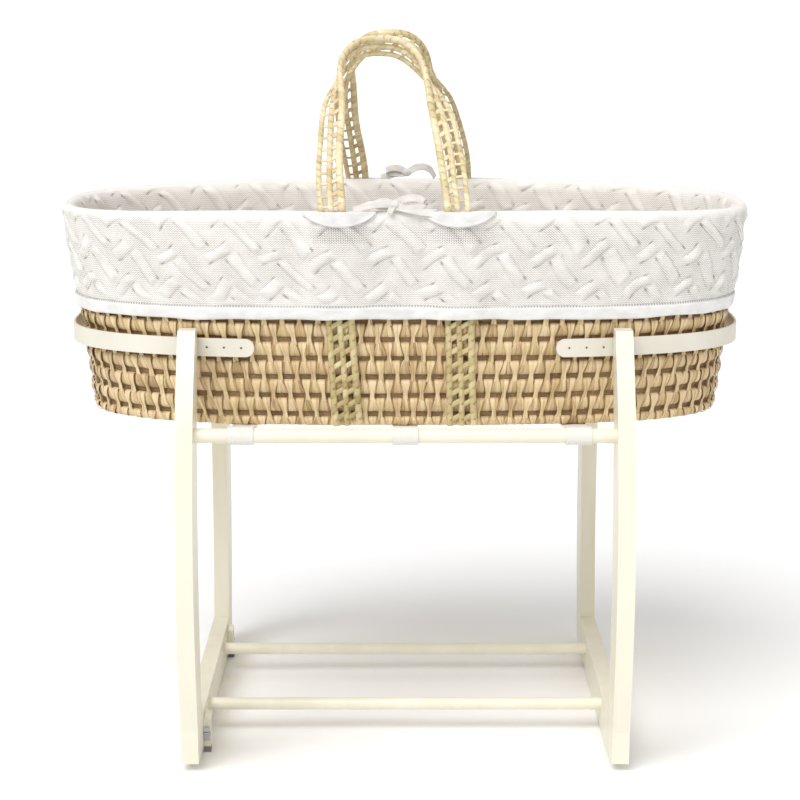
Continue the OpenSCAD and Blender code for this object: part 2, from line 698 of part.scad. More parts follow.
front_left_leg();
front_right_leg();
rear_left_leg();
rear_right_leg();
left_rocker();
right_rocker();
front_upper_rail();
rear_upper_rail();
front_lower_rail();
rear_lower_rail();
left_sling();
centre_sling();
right_sling();
rail_bolts();
barrel_nuts();
leg_dowel_pins();
left_strap();
right_strap();
strap_screws();
front_stop_block();
rear_stop_block();
stop_block_screws();
front_stop_fixed_leaf();
rear_stop_fixed_leaf();
front_stop_pin();
rear_stop_pin();
fixed_leaf_screws();
front_stop_foot();
rear_stop_foot();
front_stop_tip();
rear_stop_tip();
front_stop_moving_leaf();
rear_stop_moving_leaf();
front_leaf_screws();
rear_leaf_screws();
basket_wall();
basket_floor();
basket_rim();
front_left_band();
front_right_band();
rear_left_band();
rear_right_band();
dressing_skirt();
dressing_hem();
dressing_lining();
front_left_slot_binding();
front_right_slot_binding();
rear_left_slot_binding();
rear_right_slot_binding();
front_bow();
rear_bow();
front_handle();
rear_handle();
mattress_core();
mattress_cover();
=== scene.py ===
# Looks for a woven moses basket with a knitted dressing, on a painted rocking stand.
# Everything is in metres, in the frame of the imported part: X along the basket, -Y the front, +Z up.
import json
import math

import bpy
import numpy as np
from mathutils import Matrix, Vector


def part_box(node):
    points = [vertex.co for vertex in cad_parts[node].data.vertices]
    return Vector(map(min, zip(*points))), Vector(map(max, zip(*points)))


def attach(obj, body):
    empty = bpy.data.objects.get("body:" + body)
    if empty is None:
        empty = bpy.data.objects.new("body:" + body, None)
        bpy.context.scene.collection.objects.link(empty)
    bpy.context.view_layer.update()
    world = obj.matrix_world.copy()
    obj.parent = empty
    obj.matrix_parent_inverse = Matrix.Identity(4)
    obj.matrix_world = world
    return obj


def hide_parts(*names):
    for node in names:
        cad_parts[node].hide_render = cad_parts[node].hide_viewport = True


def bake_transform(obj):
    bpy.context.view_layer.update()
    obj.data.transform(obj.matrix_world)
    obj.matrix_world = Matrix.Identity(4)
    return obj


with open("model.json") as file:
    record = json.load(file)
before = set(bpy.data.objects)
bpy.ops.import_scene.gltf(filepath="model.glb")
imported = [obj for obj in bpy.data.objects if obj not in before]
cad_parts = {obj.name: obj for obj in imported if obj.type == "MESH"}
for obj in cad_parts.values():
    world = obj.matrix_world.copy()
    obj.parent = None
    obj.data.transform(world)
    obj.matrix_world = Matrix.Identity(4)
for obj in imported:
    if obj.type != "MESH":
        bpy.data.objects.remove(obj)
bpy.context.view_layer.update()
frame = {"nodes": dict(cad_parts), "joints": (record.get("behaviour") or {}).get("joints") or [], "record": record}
scene = bpy.context.scene
rng = np.random.default_rng(11)
mm = 0.001

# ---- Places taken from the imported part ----

wall_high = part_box("basket_wall")[1]
floor_low, floor_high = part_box("basket_floor")
hem_low, hem_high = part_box("dressing_hem")
FLOOR_Z = floor_low.z
FLOOR_TOP = floor_high.z
WALL_TOP_Z = wall_high.z
CREST_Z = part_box("dressing_skirt")[1].z
HEM_FOOT_Z = hem_low.z
HEM_TOP_Z = hem_high.z
MID_Z = 0.500
joints = {j["name"]: j for j in frame["joints"]}

# Wall slope and oval plan; the slope runs on above the wall, where the rim and the crest are
PLAN_POWER = 2.9
ABOVE_WALL = 60 * mm
LEVELS = [FLOOR_Z, MID_Z, WALL_TOP_Z, WALL_TOP_Z + ABOVE_WALL]
floor_gap = 9.3 * mm
mid_half = np.array([390.0, 186.0]) * mm
foot_half = np.array([floor_high.x, floor_high.y]) + floor_gap
top_half = np.array([wall_high.x, wall_high.y])
over_half = top_half + (top_half - mid_half) * ABOVE_WALL / (WALL_TOP_Z - MID_Z)
HALF_LENGTHS = [foot_half[0], mid_half[0], top_half[0], over_half[0]]
HALF_WIDTHS = [foot_half[1], mid_half[1], top_half[1], over_half[1]]


def travelled(points):
    """Distance along a line of points from its start."""
    return np.concatenate([[0], np.cumsum(np.linalg.norm(np.diff(points, axis=0), axis=1))])


def looked_up(at, run, rows):
    """Rows of numbers known along a run, read off at other places along it."""
    return np.stack([np.interp(at, run, column) for column in rows.T], -1)


def unit(vectors):
    return vectors / np.linalg.norm(vectors, axis=-1, keepdims=True)


def pairs(a, b):
    return np.stack(np.broadcast_arrays(a, b), -1)


def plan_radius(a, b, angle):
    """Radius of an oval of half length a and half width b at an angle."""
    c, s = np.abs(np.cos(angle)) / a, np.abs(np.sin(angle)) / b
    return (c**PLAN_POWER + s**PLAN_POWER) ** (-1 / PLAN_POWER)


# Angle at each distance round the wall, starting at the front middle and going towards +X
table_angle = np.linspace(-math.pi / 2, 1.5 * math.pi, 4001)
table_radius = plan_radius(mid_half[0], mid_half[1], table_angle)
table_xy = np.stack([table_radius * np.cos(table_angle), table_radius * np.sin(table_angle)], -1)
table_run = travelled(table_xy)
ROUND = table_run[-1]


def angle_at(run):
    return np.interp(np.mod(run, ROUND), table_run, table_angle)


def wall_point(run, z, out):
    """Point at a distance round the wall, a height, and a distance out from the wall line, square to it."""
    run, z, out = np.broadcast_arrays(run, z, out)
    angle = angle_at(run)
    a = np.interp(z, LEVELS, HALF_LENGTHS)
    b = np.interp(z, LEVELS, HALF_WIDTHS)
    r = plan_radius(a, b, angle)
    x, y = r * np.cos(angle), r * np.sin(angle)
    nx = np.sign(x) * np.abs(x / a) ** (PLAN_POWER - 1) / a
    ny = np.sign(y) * np.abs(y / b) ** (PLAN_POWER - 1) / b
    length = np.hypot(nx, ny)
    return np.stack([x + out * nx / length, y + out * ny / length, z], -1)


def smoothstep(x, low, high):
    t = np.clip((x - low) / (high - low), 0, 1)
    return t * t * (3 - 2 * t)


def wrap(x, period):
    return (x + period / 2) % period - period / 2


def wander(run, seed, waves=(3, 7, 13, 19)):
    """Slow smooth wobble round the basket, about -1 to 1, the same on every run."""
    local = np.random.default_rng(seed)
    total = np.zeros_like(np.asarray(run, float))
    for n in waves:
        size, start = local.uniform(0.3, 0.6), local.uniform(0, 6.28)
        total = total + size * np.sin(2 * math.pi * n * run / ROUND + start)
    return total


# The leaf bands and the bulge of the fabric over them; the rear pair is the front pair turned round
BAND_FOOT_X = np.array([-66.0, 66.0]) * mm
HANDLE_FOOT_X = np.array([-82.0, 58.0]) * mm
BAND_TOP_Z = 0.640
BULGE_W = 34 * mm


def band_x(i, z):
    return BAND_FOOT_X[i] + (HANDLE_FOOT_X[i] - BAND_FOOT_X[i]) * (z - FLOOR_Z) / (BAND_TOP_Z - FLOOR_Z)


def bulge(points):
    x = np.where(points[..., 1] < 0, points[..., 0], -points[..., 0])
    parts = [np.exp(-(((x - band_x(i, points[..., 2])) / BULGE_W) ** 4)) for i in (0, 1)]
    return np.maximum(*parts)


def lifted(points, lift):
    """Moves points out over the leaf bands."""
    moved = points.copy()
    moved[..., 1] += np.sign(points[..., 1]) * lift * bulge(points)
    return moved


# ---- Mesh helpers ----


def quads_of(rows, cols, close_rows=False, close_cols=False):
    i = np.arange(rows if close_rows else rows - 1)[:, None]
    j = np.arange(cols if close_cols else cols - 1)[None, :]
    a, b = i * cols + j, i * cols + (j + 1) % cols
    c, d = ((i + 1) % rows) * cols + (j + 1) % cols, ((i + 1) % rows) * cols + j
    return np.stack([a, d, c, b], -1).reshape(-1, 4)


def repeated(quads, count, stride):
    return (quads[None] + (np.arange(count) * stride)[:, None, None]).reshape(-1, 4)


def added(name, data):
    """A new object in the scene."""
    made = bpy.data.objects.new(name, data)
    scene.collection.objects.link(made)
    return made


def set_points(mesh, points):
    mesh.vertices.foreach_set("co", np.asarray(points, np.float32).ravel())


def piece(name, points, quads, material, body=None, slot=None, uv=None, **values):
    """A mesh object from arrays; uv is a point-wise pair, values are point-wise numbers."""
    points = np.asarray(points, np.float32).reshape(-1, 3)
    quads = np.asarray(quads, np.int32)
    mesh = bpy.data.meshes.new(name)
    mesh.vertices.add(len(points))
    set_points(mesh, points)
    mesh.loops.add(quads.size)
    mesh.loops.foreach_set("vertex_index", quads.ravel())
    mesh.polygons.add(len(quads))
    mesh.polygons.foreach_set("loop_start", np.arange(0, quads.size, 4, dtype=np.int32))
    mesh.update(calc_edges=True)
    mesh.polygons.foreach_set("use_smooth", np.ones(len(quads), bool))
    if uv is not None:
        uv = np.asarray(uv, np.float32).reshape(-1, 2)
        layer = mesh.uv_layers.new(name="UVMap")
        layer.data.foreach_set("uv", uv[quads.ravel()].ravel())
    for key, value in values.items():
        mesh.attributes.new(key, "FLOAT", "POINT").data.foreach_set(
            "value", np.broadcast_to(value, (len(points),)).astype(np.float32)
        )
    mesh.materials.append(material)
    made = added(name, mesh)
    if body:
        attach(made, body)
    return made


class Parts:
    """Collects several meshes into one piece."""

    def __init__(self):
        self.points, self.quads, self.uv, self.values, self.count = [], [], [], {}, 0

    def add(self, points, quads, uv=None, **values):
        points = np.asarray(points, float).reshape(-1, 3)
        self.points.append(points)
        self.quads.append(np.asarray(quads) + self.count)
        self.uv.append(np.zeros((len(points), 2)) if uv is None else np.asarray(uv, float).reshape(-1, 2))
        for key, value in values.items():
            self.values.setdefault(key, []).append(np.broadcast_to(np.ravel(value), (len(points),)))
        self.count += len(points)

    def make(self, name, material, body=None, slot=None):
        joined = {key: np.concatenate(value) for key, value in self.values.items()}
        return piece(
            name, np.concatenate(self.points), np.concatenate(self.quads), material,
            body, slot, np.concatenate(self.uv), **joined)


# ---- Material helpers ----


def srgb(*channels):
    """Linear colour from three screen levels of 0 to 255, none of them near black."""
    return tuple(((level / 255 + 0.055) / 1.055) ** 2.4 for level in channels) + (1,)


class Value:
    """A number, vector or colour worked out in a material, written with ordinary signs."""

    def __init__(self, nodes, socket):
        self.nodes, self.socket = nodes, socket

    def __add__(self, other):
        return self.nodes.math("ADD", self, other)

    def __sub__(self, other):
        return self.nodes.math("SUBTRACT", self, other)

    def __rsub__(self, other):
        return self.nodes.math("SUBTRACT", other, self)

    def __mul__(self, other):
        return self.nodes.math("MULTIPLY", self, other)

    def __abs__(self):
        return self.nodes.math("ABSOLUTE", self)

    def clamped(self):
        """Keeps the sum or product that gave this value between 0 and 1."""
        self.socket.node.use_clamp = True
        return self


class Nodes:
    """One procedural material."""

    def __init__(self, name, roughness=0.6, specular=0.4, metallic=0.0, sheen=0.0, coat=0.0):
        self.material = bpy.data.materials.new(name)
        self.material.use_nodes = True
        self.tree = self.material.node_tree
        self.shader = self.tree.nodes["Principled BSDF"]
        constants = {
            "Roughness": roughness, "Specular IOR Level": specular, "Metallic": metallic,
            "Sheen Weight": sheen, "Sheen Roughness": 0.5, "Coat Weight": coat, "Coat Roughness": 0.25}
        for socket, value in constants.items():
            self.shader.inputs[socket].default_value = value

    def put(self, value, socket):
        if isinstance(value, Value):
            self.tree.links.new(value.socket, socket)
        else:
            socket.default_value = value

    def node(self, kind, inputs, output=0, **settings):
        """Adds a node with its settings and inputs, and gives one of its outputs."""
        made = self.tree.nodes.new(kind)
        for key, value in settings.items():
            setattr(made, key, value)
        for socket, value in inputs.items():
            self.put(value, made.inputs[socket])
        return Value(self, made.outputs[output])

    def math(self, operation, a, b=0.0):
        return self.node("ShaderNodeMath", {0: a, 1: b}, operation=operation)

    def cosine(self, turns):
        return self.math("COSINE", turns * (2 * math.pi))

    def sine(self, value, period):
        return self.math("SINE", value * (2 * math.pi / period))

    def attribute(self, name):
        return self.node("ShaderNodeAttribute", {}, "Fac", attribute_name=name)

    def split(self, vector):
        axes = self.node("ShaderNodeSeparateXYZ", {0: vector}).socket.node.outputs
        return [Value(self, axis) for axis in axes]

    def uv(self):
        return self.split(self.node("ShaderNodeUVMap", {}, uv_map="UVMap"))[:2]

    def place(self):
        return self.node("ShaderNodeTexCoord", {}, "Object")

    def vector(self, x, y, z):
        return self.node("ShaderNodeCombineXYZ", {0: x, 1: y, 2: z})

    def noise(self, vector, scale, detail=3.0):
        """Noise at one scale, or at one scale along each axis."""
        if not isinstance(scale, float):
            vector = self.node("ShaderNodeMapping", {0: vector, "Scale": scale})
            scale = 1.0
        return self.node("ShaderNodeTexNoise", {"Vector": vector, "Scale": scale, "Detail": detail})

    def spread(self, value, to_low, to_high):
        """The middle of a noise spread over a range."""
        return self.node("ShaderNodeMapRange", {0: value, 1: 0.3, 2: 0.7, 3: to_low, 4: to_high})

    def ramp(self, factor, *stops):
        colour = self.node("ShaderNodeValToRGB", {0: factor})
        elements = colour.socket.node.color_ramp.elements
        while len(elements) < len(stops):
            elements.new(0.5)
        for element, (at, stop) in zip(elements, stops):
            element.position, element.color = at, stop
        return colour

    def mix(self, factor, a, b, blend="MIX"):
        return self.node("ShaderNodeMix", {0: factor, 6: a, 7: b}, 2, data_type="RGBA", blend_type=blend)

    def bump(self, height, distance, strength=1.0):
        return self.node("ShaderNodeBump", {"Height": height, "Distance": distance, "Strength": strength})

    def done(self, colour, normal, roughness=None):
        self.put(colour, self.shader.inputs["Base Color"])
        self.put(normal, self.shader.inputs["Normal"])
        if roughness is not None:
            self.put(roughness, self.shader.inputs["Roughness"])
        return self.material


# ---- Materials ----


def leaf_material(name, dark, middle, light, green):
    m = Nodes(name, roughness=0.56, specular=0.35)
    x, y = m.uv()
    # The tone attribute holds each leaf's own tone, and the painted shade along leaf edges and in the grooves of
    # cords and coils
    tone = m.attribute("tone")
    fibre = m.noise(m.vector(x * 1400.0, y * 90.0, tone * 40.0), 1.0)
    patch = m.noise(m.place(), 34.0, 2.0)
    level = (tone + (fibre - 0.5) * 0.55 + (patch - 0.5) * 0.45).clamped()
    straw = m.ramp(level, (0.0, dark), (0.5, middle), (1.0, light))
    tinted = m.mix(m.attribute("green"), straw, green, "MULTIPLY")
    return m.done(tinted, m.bump(fibre, 0.35 * mm, 0.8), m.spread(fibre, 0.48, 0.68))


def core_material():
    # The cores' dark brown is partly their own colour and partly painted shade for the gaps between the rows,
    # where they show
    m = Nodes("leaf_core", roughness=0.8, specular=0.2)
    fibre = m.noise(m.place(), (260, 260, 900))
    patch = m.noise(m.place(), 22.0, 2.0)
    colour = m.ramp(
        fibre * 0.6 + patch * 0.5,
        (0.3, srgb(104, 80, 56)), (0.55, srgb(150, 122, 90)), (0.8, srgb(186, 158, 124)))
    return m.done(colour, m.bump(fibre, 0.6 * mm))


def knit_material(name, light, shade):
    """Fine stockinette: columns of slanted stitches with a fleck of shade in each, painted light on the cables and
    the crest, and painted shade in the creases beside the cables, in the slits and in the gathers.
    """
    wale, course = 3.0 * mm, 2.5 * mm
    m = Nodes(name, roughness=0.9, specular=0.15, sheen=0.2)
    x, y = m.uv()
    inside = m.math("FRACT", m.math("DIVIDE", x, wale)) - 0.5
    row = m.math("DIVIDE", y, course) + abs(inside) * 1.3
    legs = 1.0 - abs(m.cosine(inside)) * 0.45
    stitch = legs * (m.cosine(row) * 0.5 + 0.5)
    fuzz = m.noise(m.place(), 900.0, 2.0)
    patch = m.noise(m.place(), 40.0)
    # Below the handle facings the cloth is gathered into fine ribs, drawn only as stripes of painted shade
    painted_rib_shade = m.attribute("gather") * ((m.sine(x, 2.4 * mm) + 1.0) * 0.22)
    # Painted light on the raised cables and the crest, and painted shade in the creases beside the cables
    level = stitch * 1.1 + fuzz * 0.3 + (patch - 0.5) * 0.5 + m.attribute("raised") * 0.10
    colour = m.ramp((level - painted_rib_shade).clamped(), (0.12, shade), (0.46, light))
    # The slits beside the cable ends are painted dark, as painted shade inside them
    colour = m.mix(m.attribute("hole"), colour, srgb(112, 106, 98))
    return m.done(colour, m.bump(stitch + fuzz * 0.4, 0.6 * mm, 0.85))


def cotton_material(name, light, shade, thread=0.7 * mm):
    """Close plain cloth with a faint weave and creases, and a grey zigzag where there is a seam: partly its
    stitches, partly painted shade in the seam groove.
    """
    m = Nodes(name, roughness=0.85, specular=0.2, sheen=0.2)
    x, y = m.uv()
    weave = m.sine(x, thread) * m.sine(y, thread)
    crease = m.noise(m.place(), (60, 60, 110))
    colour = m.ramp((weave * 0.12 + crease).clamped(), (0.3, shade), (0.65, light))
    # The grey zigzag along a seam: partly stitches, partly painted shade in the seam groove
    zigzag = m.sine(x, 3.4 * mm) * 0.35 + 0.65
    colour = m.mix((m.attribute("seam") * zigzag).clamped(), colour, srgb(150, 146, 140))
    return m.done(colour, m.bump(weave * 0.25 + crease, 0.5 * mm, 0.6))


def paint_material():
    m = Nodes("ivory_paint", roughness=0.38, specular=0.45, coat=0.15)
    brush = m.noise(m.place(), (30, 30, 6))
    grain = m.noise(m.place(), 420.0, 2.0)
    colour = m.ramp(brush, (0.3, srgb(233, 228, 208)), (0.7, srgb(239, 235, 217)))
    return m.done(colour, m.bump(brush + grain * 0.25, 0.25 * mm, 0.35), m.spread(grain, 0.34, 0.46))


def strap_material():
    m = Nodes("strap_cream", roughness=0.46, specular=0.4)
    fine = m.noise(m.place(), 650.0)
    cloud = m.noise(m.place(), 16.0, 2.0)
    colour = m.ramp(cloud, (0.3, srgb(220, 215, 200)), (0.7, srgb(229, 225, 212)))
    return m.done(colour, m.bump(fine, 0.15 * mm, 0.6), m.spread(cloud, 0.42, 0.54))


def webbing_material():
    m = Nodes("sling_webbing", roughness=0.85, specular=0.2, sheen=0.2)
    x, y, _ = m.split(m.place())
    weave = m.sine(x, 2.2 * mm) * 0.5 + m.sine(y, 1.4 * mm) * 0.25
    colour = m.ramp(weave * 0.3 + 0.5, (0.2, srgb(226, 223, 214)), (0.8, srgb(243, 241, 235)))
    return m.done(colour, m.bump(weave, 0.4 * mm, 0.8))


def grained_material(name, scale, detail, low, high, depth, strength, rough=None, **finish):
    """A finish with one fine noise between two shades."""
    m = Nodes(name, **finish)
    grain = m.noise(m.place(), scale, detail)
    colour = m.ramp(grain, (0.3, srgb(*low)), (0.7, srgb(*high)))
    return m.done(colour, m.bump(grain, depth, strength), rough and m.spread(grain, *rough))


wall_leaf = leaf_material(
    "leaf_wall", srgb(122, 90, 54), srgb(210, 180, 136), srgb(243, 222, 180), srgb(230, 234, 206))
pale_leaf = leaf_material(
    "leaf_pale", srgb(134, 106, 68), srgb(208, 184, 142), srgb(242, 226, 190), srgb(228, 234, 208))
leaf_core = core_material()
outer_knit = knit_material("knit_outer", srgb(249, 246, 241), srgb(172, 167, 159))
# The lining's flecks are paler than the skirt's, as painted light on the shaded inside of the basket
lining_knit = knit_material("knit_lining", srgb(250, 245, 239), srgb(192, 184, 175))
jersey = cotton_material("jersey", srgb(243, 242, 240), srgb(226, 224, 221), 1.3 * mm)
ribbon_cotton = cotton_material("ribbon_cotton", srgb(236, 232, 226), srgb(212, 206, 199))
binding_cotton = cotton_material("binding_cotton", srgb(242, 241, 239), srgb(226, 224, 221))
mattress_cotton = cotton_material("mattress_cotton", srgb(246, 246, 245), srgb(238, 238, 237), 0.9 * mm)

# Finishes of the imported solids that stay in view
by_slot = {
    "painted_wood": paint_material(),
    "webbing": webbing_material(),
    "tip_rubber": grained_material(
        "grey_rubber", 900.0, 3.0, (112, 113, 116), (140, 141, 144), 0.12 * mm, 0.6,
        roughness=0.7, specular=0.3),
    "bolt_steel": grained_material(
        "zinc_steel", (1200, 1200, 160), 2.0, (176, 178, 182), (206, 208, 212), 0.08 * mm, 0.5,
        (0.26, 0.42), specular=0.5, metallic=1.0),
    "bare_wood": grained_material(
        "beech", (700, 700, 60), 3.0, (190, 152, 104), (216, 182, 134), 0.2 * mm, 1.0,
        roughness=0.6, specular=0.3),
    "strap": strap_material(),
}

# ---- Woven wall: rows of leaf-wrapped cord, stitched to one another across the gaps ----

CELLS = round(ROUND / (20.0 * mm))
CELL = ROUND / CELLS
ROW_PITCH = 22.3 * mm
ROW_COUNT = 7
FOOT_ROW_MIDDLE, FOOT_ROW_HALF = 5.6 * mm, 5.2 * mm
FIRST_ROW_MIDDLE, ROW_HALF = 25.2 * mm, 7.9 * mm

# Places across a leaf, from edge to edge, and how much darker its edges are painted, as painted shade in the gaps
# between leaves
LATERAL = np.array([-1.0, -0.76, 0.76, 1.0])
EDGE_PAINTED_SHADE = 0.5


def row_place(k):
    """Middle height and half height of row k, counted from the floor."""
    if k == 0:
        return FLOOR_Z + FOOT_ROW_MIDDLE, FOOT_ROW_HALF
    return FLOOR_Z + FIRST_ROW_MIDDLE + (k - 1) * ROW_PITCH, ROW_HALF


def leaf_strips(parts, run, z, out, half, crown, tone, green):
    """Strips over arrays of (strip, station): where each runs, how far out it lies, and its half width."""
    strips, stations = run.shape
    points = wall_point(
        run[..., None] + half[..., None] * LATERAL,
        z[..., None] + 0 * LATERAL,
        out[..., None] + crown * (1 - LATERAL**2),
    )
    quads = repeated(quads_of(stations, 4), strips, stations * 4)
    uv = pairs(half[..., None] * LATERAL + run[:, :1, None] * 3, z[..., None] + 0 * LATERAL)
    # Each leaf's own tone, painted darker along its edges as painted shade between the leaves
    shade = tone[:, None, None] - EDGE_PAINTED_SHADE * np.abs(LATERAL) ** 4 + 0 * half[..., None]
    parts.add(points, quads, uv, tone=shade, green=np.repeat(green, stations * 4))


def weave_row(parts, k):
    middle, h = row_place(k)
    cell = np.arange(CELLS)
    swell = 0.6 * mm * wander(cell * CELL, 40 + k)
    rise = 0.5 * mm * wander(cell * CELL, 80 + k)
    # Stitches of neighbouring rows lie half a cell apart
    below_phase, above_phase = (k % 2) * 0.5, ((k + 1) % 2) * 0.5

    # Bundle of the row, seen between the leaves
    bundle_run = np.linspace(0, ROUND, 6 * CELLS + 1)
    share = np.linspace(-1.0, 1.0, 9)
    strands = 0.25 * mm * np.sin(bundle_run / (1.1 * mm))[:, None]
    bundle_out = (-1.5 - 3.4 * np.abs(share) ** 2.6) * mm + strands
    bundle = wall_point(bundle_run[:, None], middle + share * h, bundle_out)
    # The bundle is painted darker towards its edges, as painted shade where it turns back under the leaves
    bundle_tone = 0.46 - 0.2 * np.abs(share)[None] + 0 * bundle_run[:, None]
    parts.add(
        bundle, quads_of(len(bundle_run), len(share)), pairs(bundle_run[:, None], (share * h)[None]),
        tone=bundle_tone, green=0.1)

    # Four leaves that fan out below each stitch from the row above: the side each leans to, and its layer
    spread = np.array([0.0, 0.10, 0.28, 0.55, 0.80, 0.94, 1.0])
    for leaf, (side, order) in enumerate(((-1, 0.0), (1, 0.25), (-0.35, 0.5), (0.4, 0.7))):
        jitter = rng.normal(0, 0.5 * mm, (CELLS, 1))
        centre = (cell[:, None] + above_phase) * CELL + jitter
        run = centre + side * (0.9 + 5.0 * spread**0.8) * mm + rng.normal(0, 0.5 * mm, (CELLS, 1)) * spread
        z = middle + rise[:, None] + h * (1.08 - 2.14 * spread) + 0 * centre
        bow = np.array([-1.4, 0.3, 1.0, 0.8, -0.4, -2.0, -3.4]) * mm
        out = bow + (order - 1.3) * mm + swell[:, None] + rng.normal(0, 0.25 * mm, (CELLS, 1)) * spread
        half = (np.array([1.3, 1.6, 2.1, 2.7, 3.0, 3.0, 2.9]) * mm) * rng.uniform(0.75, 1.15, (CELLS, 1))
        tone = np.clip(rng.normal(0.72 + 0.04 * leaf, 0.16, CELLS), 0.15, 1)
        green = np.clip(rng.normal(0.1, 0.2, CELLS), 0, 1)
        leaf_strips(parts, run, z, out, half, 0.35 * mm, tone, green)

    # Wide wraps with square tops over the row, which narrow to the stitch below and cross the gap
    along = np.array([0.0, 0.05, 0.12, 0.34, 0.58, 0.8, 0.95, 1.06, 1.16, 1.22])
    drop = 2 * h * along
    bow = np.array([-4.4, -1.4, 0.3, 1.3, 1.3, 0.7, -0.3, -0.9, -0.6, -1.4]) * mm
    if k == 0:
        # The foot row has no row below it, so its wraps turn in under the wall
        drop[-3:] = 2 * h + np.array([0.0, 0.3, 0.5]) * mm
        bow[-3:] = np.array([-2.0, -4.0, -6.0]) * mm
    else:
        low_middle, low_h = row_place(k - 1)
        gap = (middle - h) - (low_middle + low_h)
        drop[-3:] = 2 * h + gap * np.array([0.25, 0.85, 1.45])
    # Each shape: the side it leans to, its half widths in millimetres, and its layer
    shapes = (
        (0.0, (4.4, 4.6, 4.7, 4.4, 3.8, 3.1, 2.7, 2.5, 2.9, 3.4), 0.0),
        (-1.0, (2.2, 2.3, 2.3, 2.0, 1.6, 1.2, 1.0, 0.9, 1.3, 1.7), 0.5),
    )
    flip = rng.choice([-1.0, 1.0], (CELLS, 1))
    slant = rng.normal(0, 1.0 * mm, (CELLS, 1))
    for side, half_widths, order in shapes:
        jitter = rng.normal(0, 0.45 * mm, (CELLS, 1))
        wide = rng.uniform(0.85, 1.12, (CELLS, 1))
        half = np.array(half_widths) * mm * wide
        shift = side * flip * (np.array([3.4, 3.4, 3.3, 3.0, 2.2, 1.5, 1.1, 1.0, 1.5, 2.0]) * mm)
        run = (cell[:, None] + below_phase) * CELL + jitter + shift + slant * (0.5 - along)
        z = middle + rise[:, None] + h - drop + 0 * run
        out = bow + order * mm + swell[:, None] + rng.normal(0, 0.2 * mm, (CELLS, 1)) + 0 * run
        tone = np.clip(rng.normal(0.90 - 0.1 * order, 0.13, CELLS), 0.35, 1)
        green = np.clip(rng.normal(0.05, 0.18, CELLS), 0, 1)
        leaf_strips(parts, run, z, out, half, 0.45 * mm, tone, green)


weave = Parts()
for k in range(ROW_COUNT):
    weave_row(weave, k)
weave.make("woven_rows", wall_leaf, "basket", "palm_leaf")


def wall_core():
    """The cord cores behind the leaves, seen as brown lines between the rows, and the wall's inside."""
    run = np.linspace(0, ROUND, 481)[:-1]
    section = []
    for k in range(ROW_COUNT):
        middle, h = row_place(k)
        for share, depth in ((-1.05, 5.4), (-0.75, 3.2), (0, 2.0), (0.75, 3.2), (1.05, 5.4)):
            section.append((middle + share * h, -depth * mm))
    low_edge, top_edge, inside = WALL_TOP_Z - 20 * mm, WALL_TOP_Z - 3 * mm, -9 * mm
    section += [(low_edge, -5 * mm), (top_edge, -6 * mm)]
    section += [(z, inside) for z in (top_edge, low_edge, MID_Z, FLOOR_Z + 10 * mm, FLOOR_Z)]
    z, out = np.array(section).T
    quads = quads_of(len(run), len(section), True, True)
    core = piece(
        "wall_core", wall_point(run[:, None], z[None], out[None]), quads, leaf_core, "basket", "palm_leaf")
    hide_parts("basket_wall")


wall_core()

# Sides of a cord's section, and how flat it is
CORD_SIDES = 10
CORD_FLAT = 0.84


def swept_cord(path, across, through, radius, pitch, seed, tone, green):
    """A leaf-wrapped cord along a path: each wrap steps over the last and has its own shade."""
    ridge, slant = 0.09, 1.2
    local = np.random.default_rng(seed)
    run = travelled(path)
    turn = np.linspace(0, 2 * math.pi, CORD_SIDES + 1)
    wrap_at = run[:, None] / pitch + slant * turn[None] / (2 * math.pi)
    part = wrap_at - np.floor(wrap_at)
    index = np.floor(wrap_at).astype(int)
    shades = np.clip(local.normal(tone, 0.11, index.max() + 3), 0, 1)
    greens = np.clip(local.normal(green, 0.3, index.max() + 3), 0, 1)
    r = radius * (1 + ridge * (1 - part) - ridge * 1.6 * np.exp(-((part / 0.09) ** 2)))
    points = (
        path[:, None]
        + across[:, None] * (r * np.cos(turn))[..., None]
        + through[:, None] * (CORD_FLAT * r * np.sin(turn))[..., None]
    )
    uv = pairs(turn[None] * radius, run[:, None])
    # A dark line is painted where each wrap steps over the last, as painted shade in the groove there
    shade = shades[index] - 0.7 * np.exp(-((part / 0.07) ** 2))
    return points, quads_of(len(path), CORD_SIDES + 1), uv, shade, greens[index]


def foot_cord():
    """Twisted edge cord at the foot of the wall."""
    radius = 2.3 * mm
    run = np.linspace(0, ROUND, 1801)
    turn = np.linspace(0, 2 * math.pi, 9)
    strand = np.cos(2 * turn[None] - 2 * math.pi * run[:, None] / (9.5 * mm))
    r = radius * (1 + 0.22 * strand)
    points = wall_point(
        run[:, None], FLOOR_Z + 2.6 * mm + r * np.sin(turn), -5.0 * mm + r * np.cos(turn))
    # The twist's ridges are lighter and the grooves between its strands darker: painted shade
    tone = np.clip(0.42 + 0.25 * strand, 0, 1).ravel()
    piece(
        "foot_cord", points, quads_of(len(run), len(turn)), wall_leaf, "basket", "palm_leaf",
        pairs(turn[None] * radius, run[:, None]), tone=tone, green=0.1)


def wrapped_rim():
    """Wrapped rim inside the dressing, taller than it is wide."""
    low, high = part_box("basket_rim")
    half_h, half_w, stand_off = (high.z - low.z) / 2 - 1 * mm, 5.6 * mm, 2 * mm
    middle = (high.z + low.z) / 2
    run = np.linspace(0, ROUND, 901)
    path = wall_point(run, middle, high.x - np.interp(middle, LEVELS, HALF_LENGTHS) - half_w - stand_off)
    across = unit(path * np.array([1, 1, 0]))
    up = np.tile([0.0, 0.0, half_h / half_w / CORD_FLAT], (len(run), 1))
    points, quads, uv, tone, green = swept_cord(path, across, up, half_w, 9 * mm, 90, 0.5, 0.1)
    rim = piece(
        "wrapped_rim", points, quads, wall_leaf, "basket", "palm_leaf", uv,
        tone=tone.ravel(), green=green.ravel())
    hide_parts("basket_rim")


foot_cord()
wrapped_rim()

# ---- Floor of the basket: rows of wrapped cord coiled to the middle ----


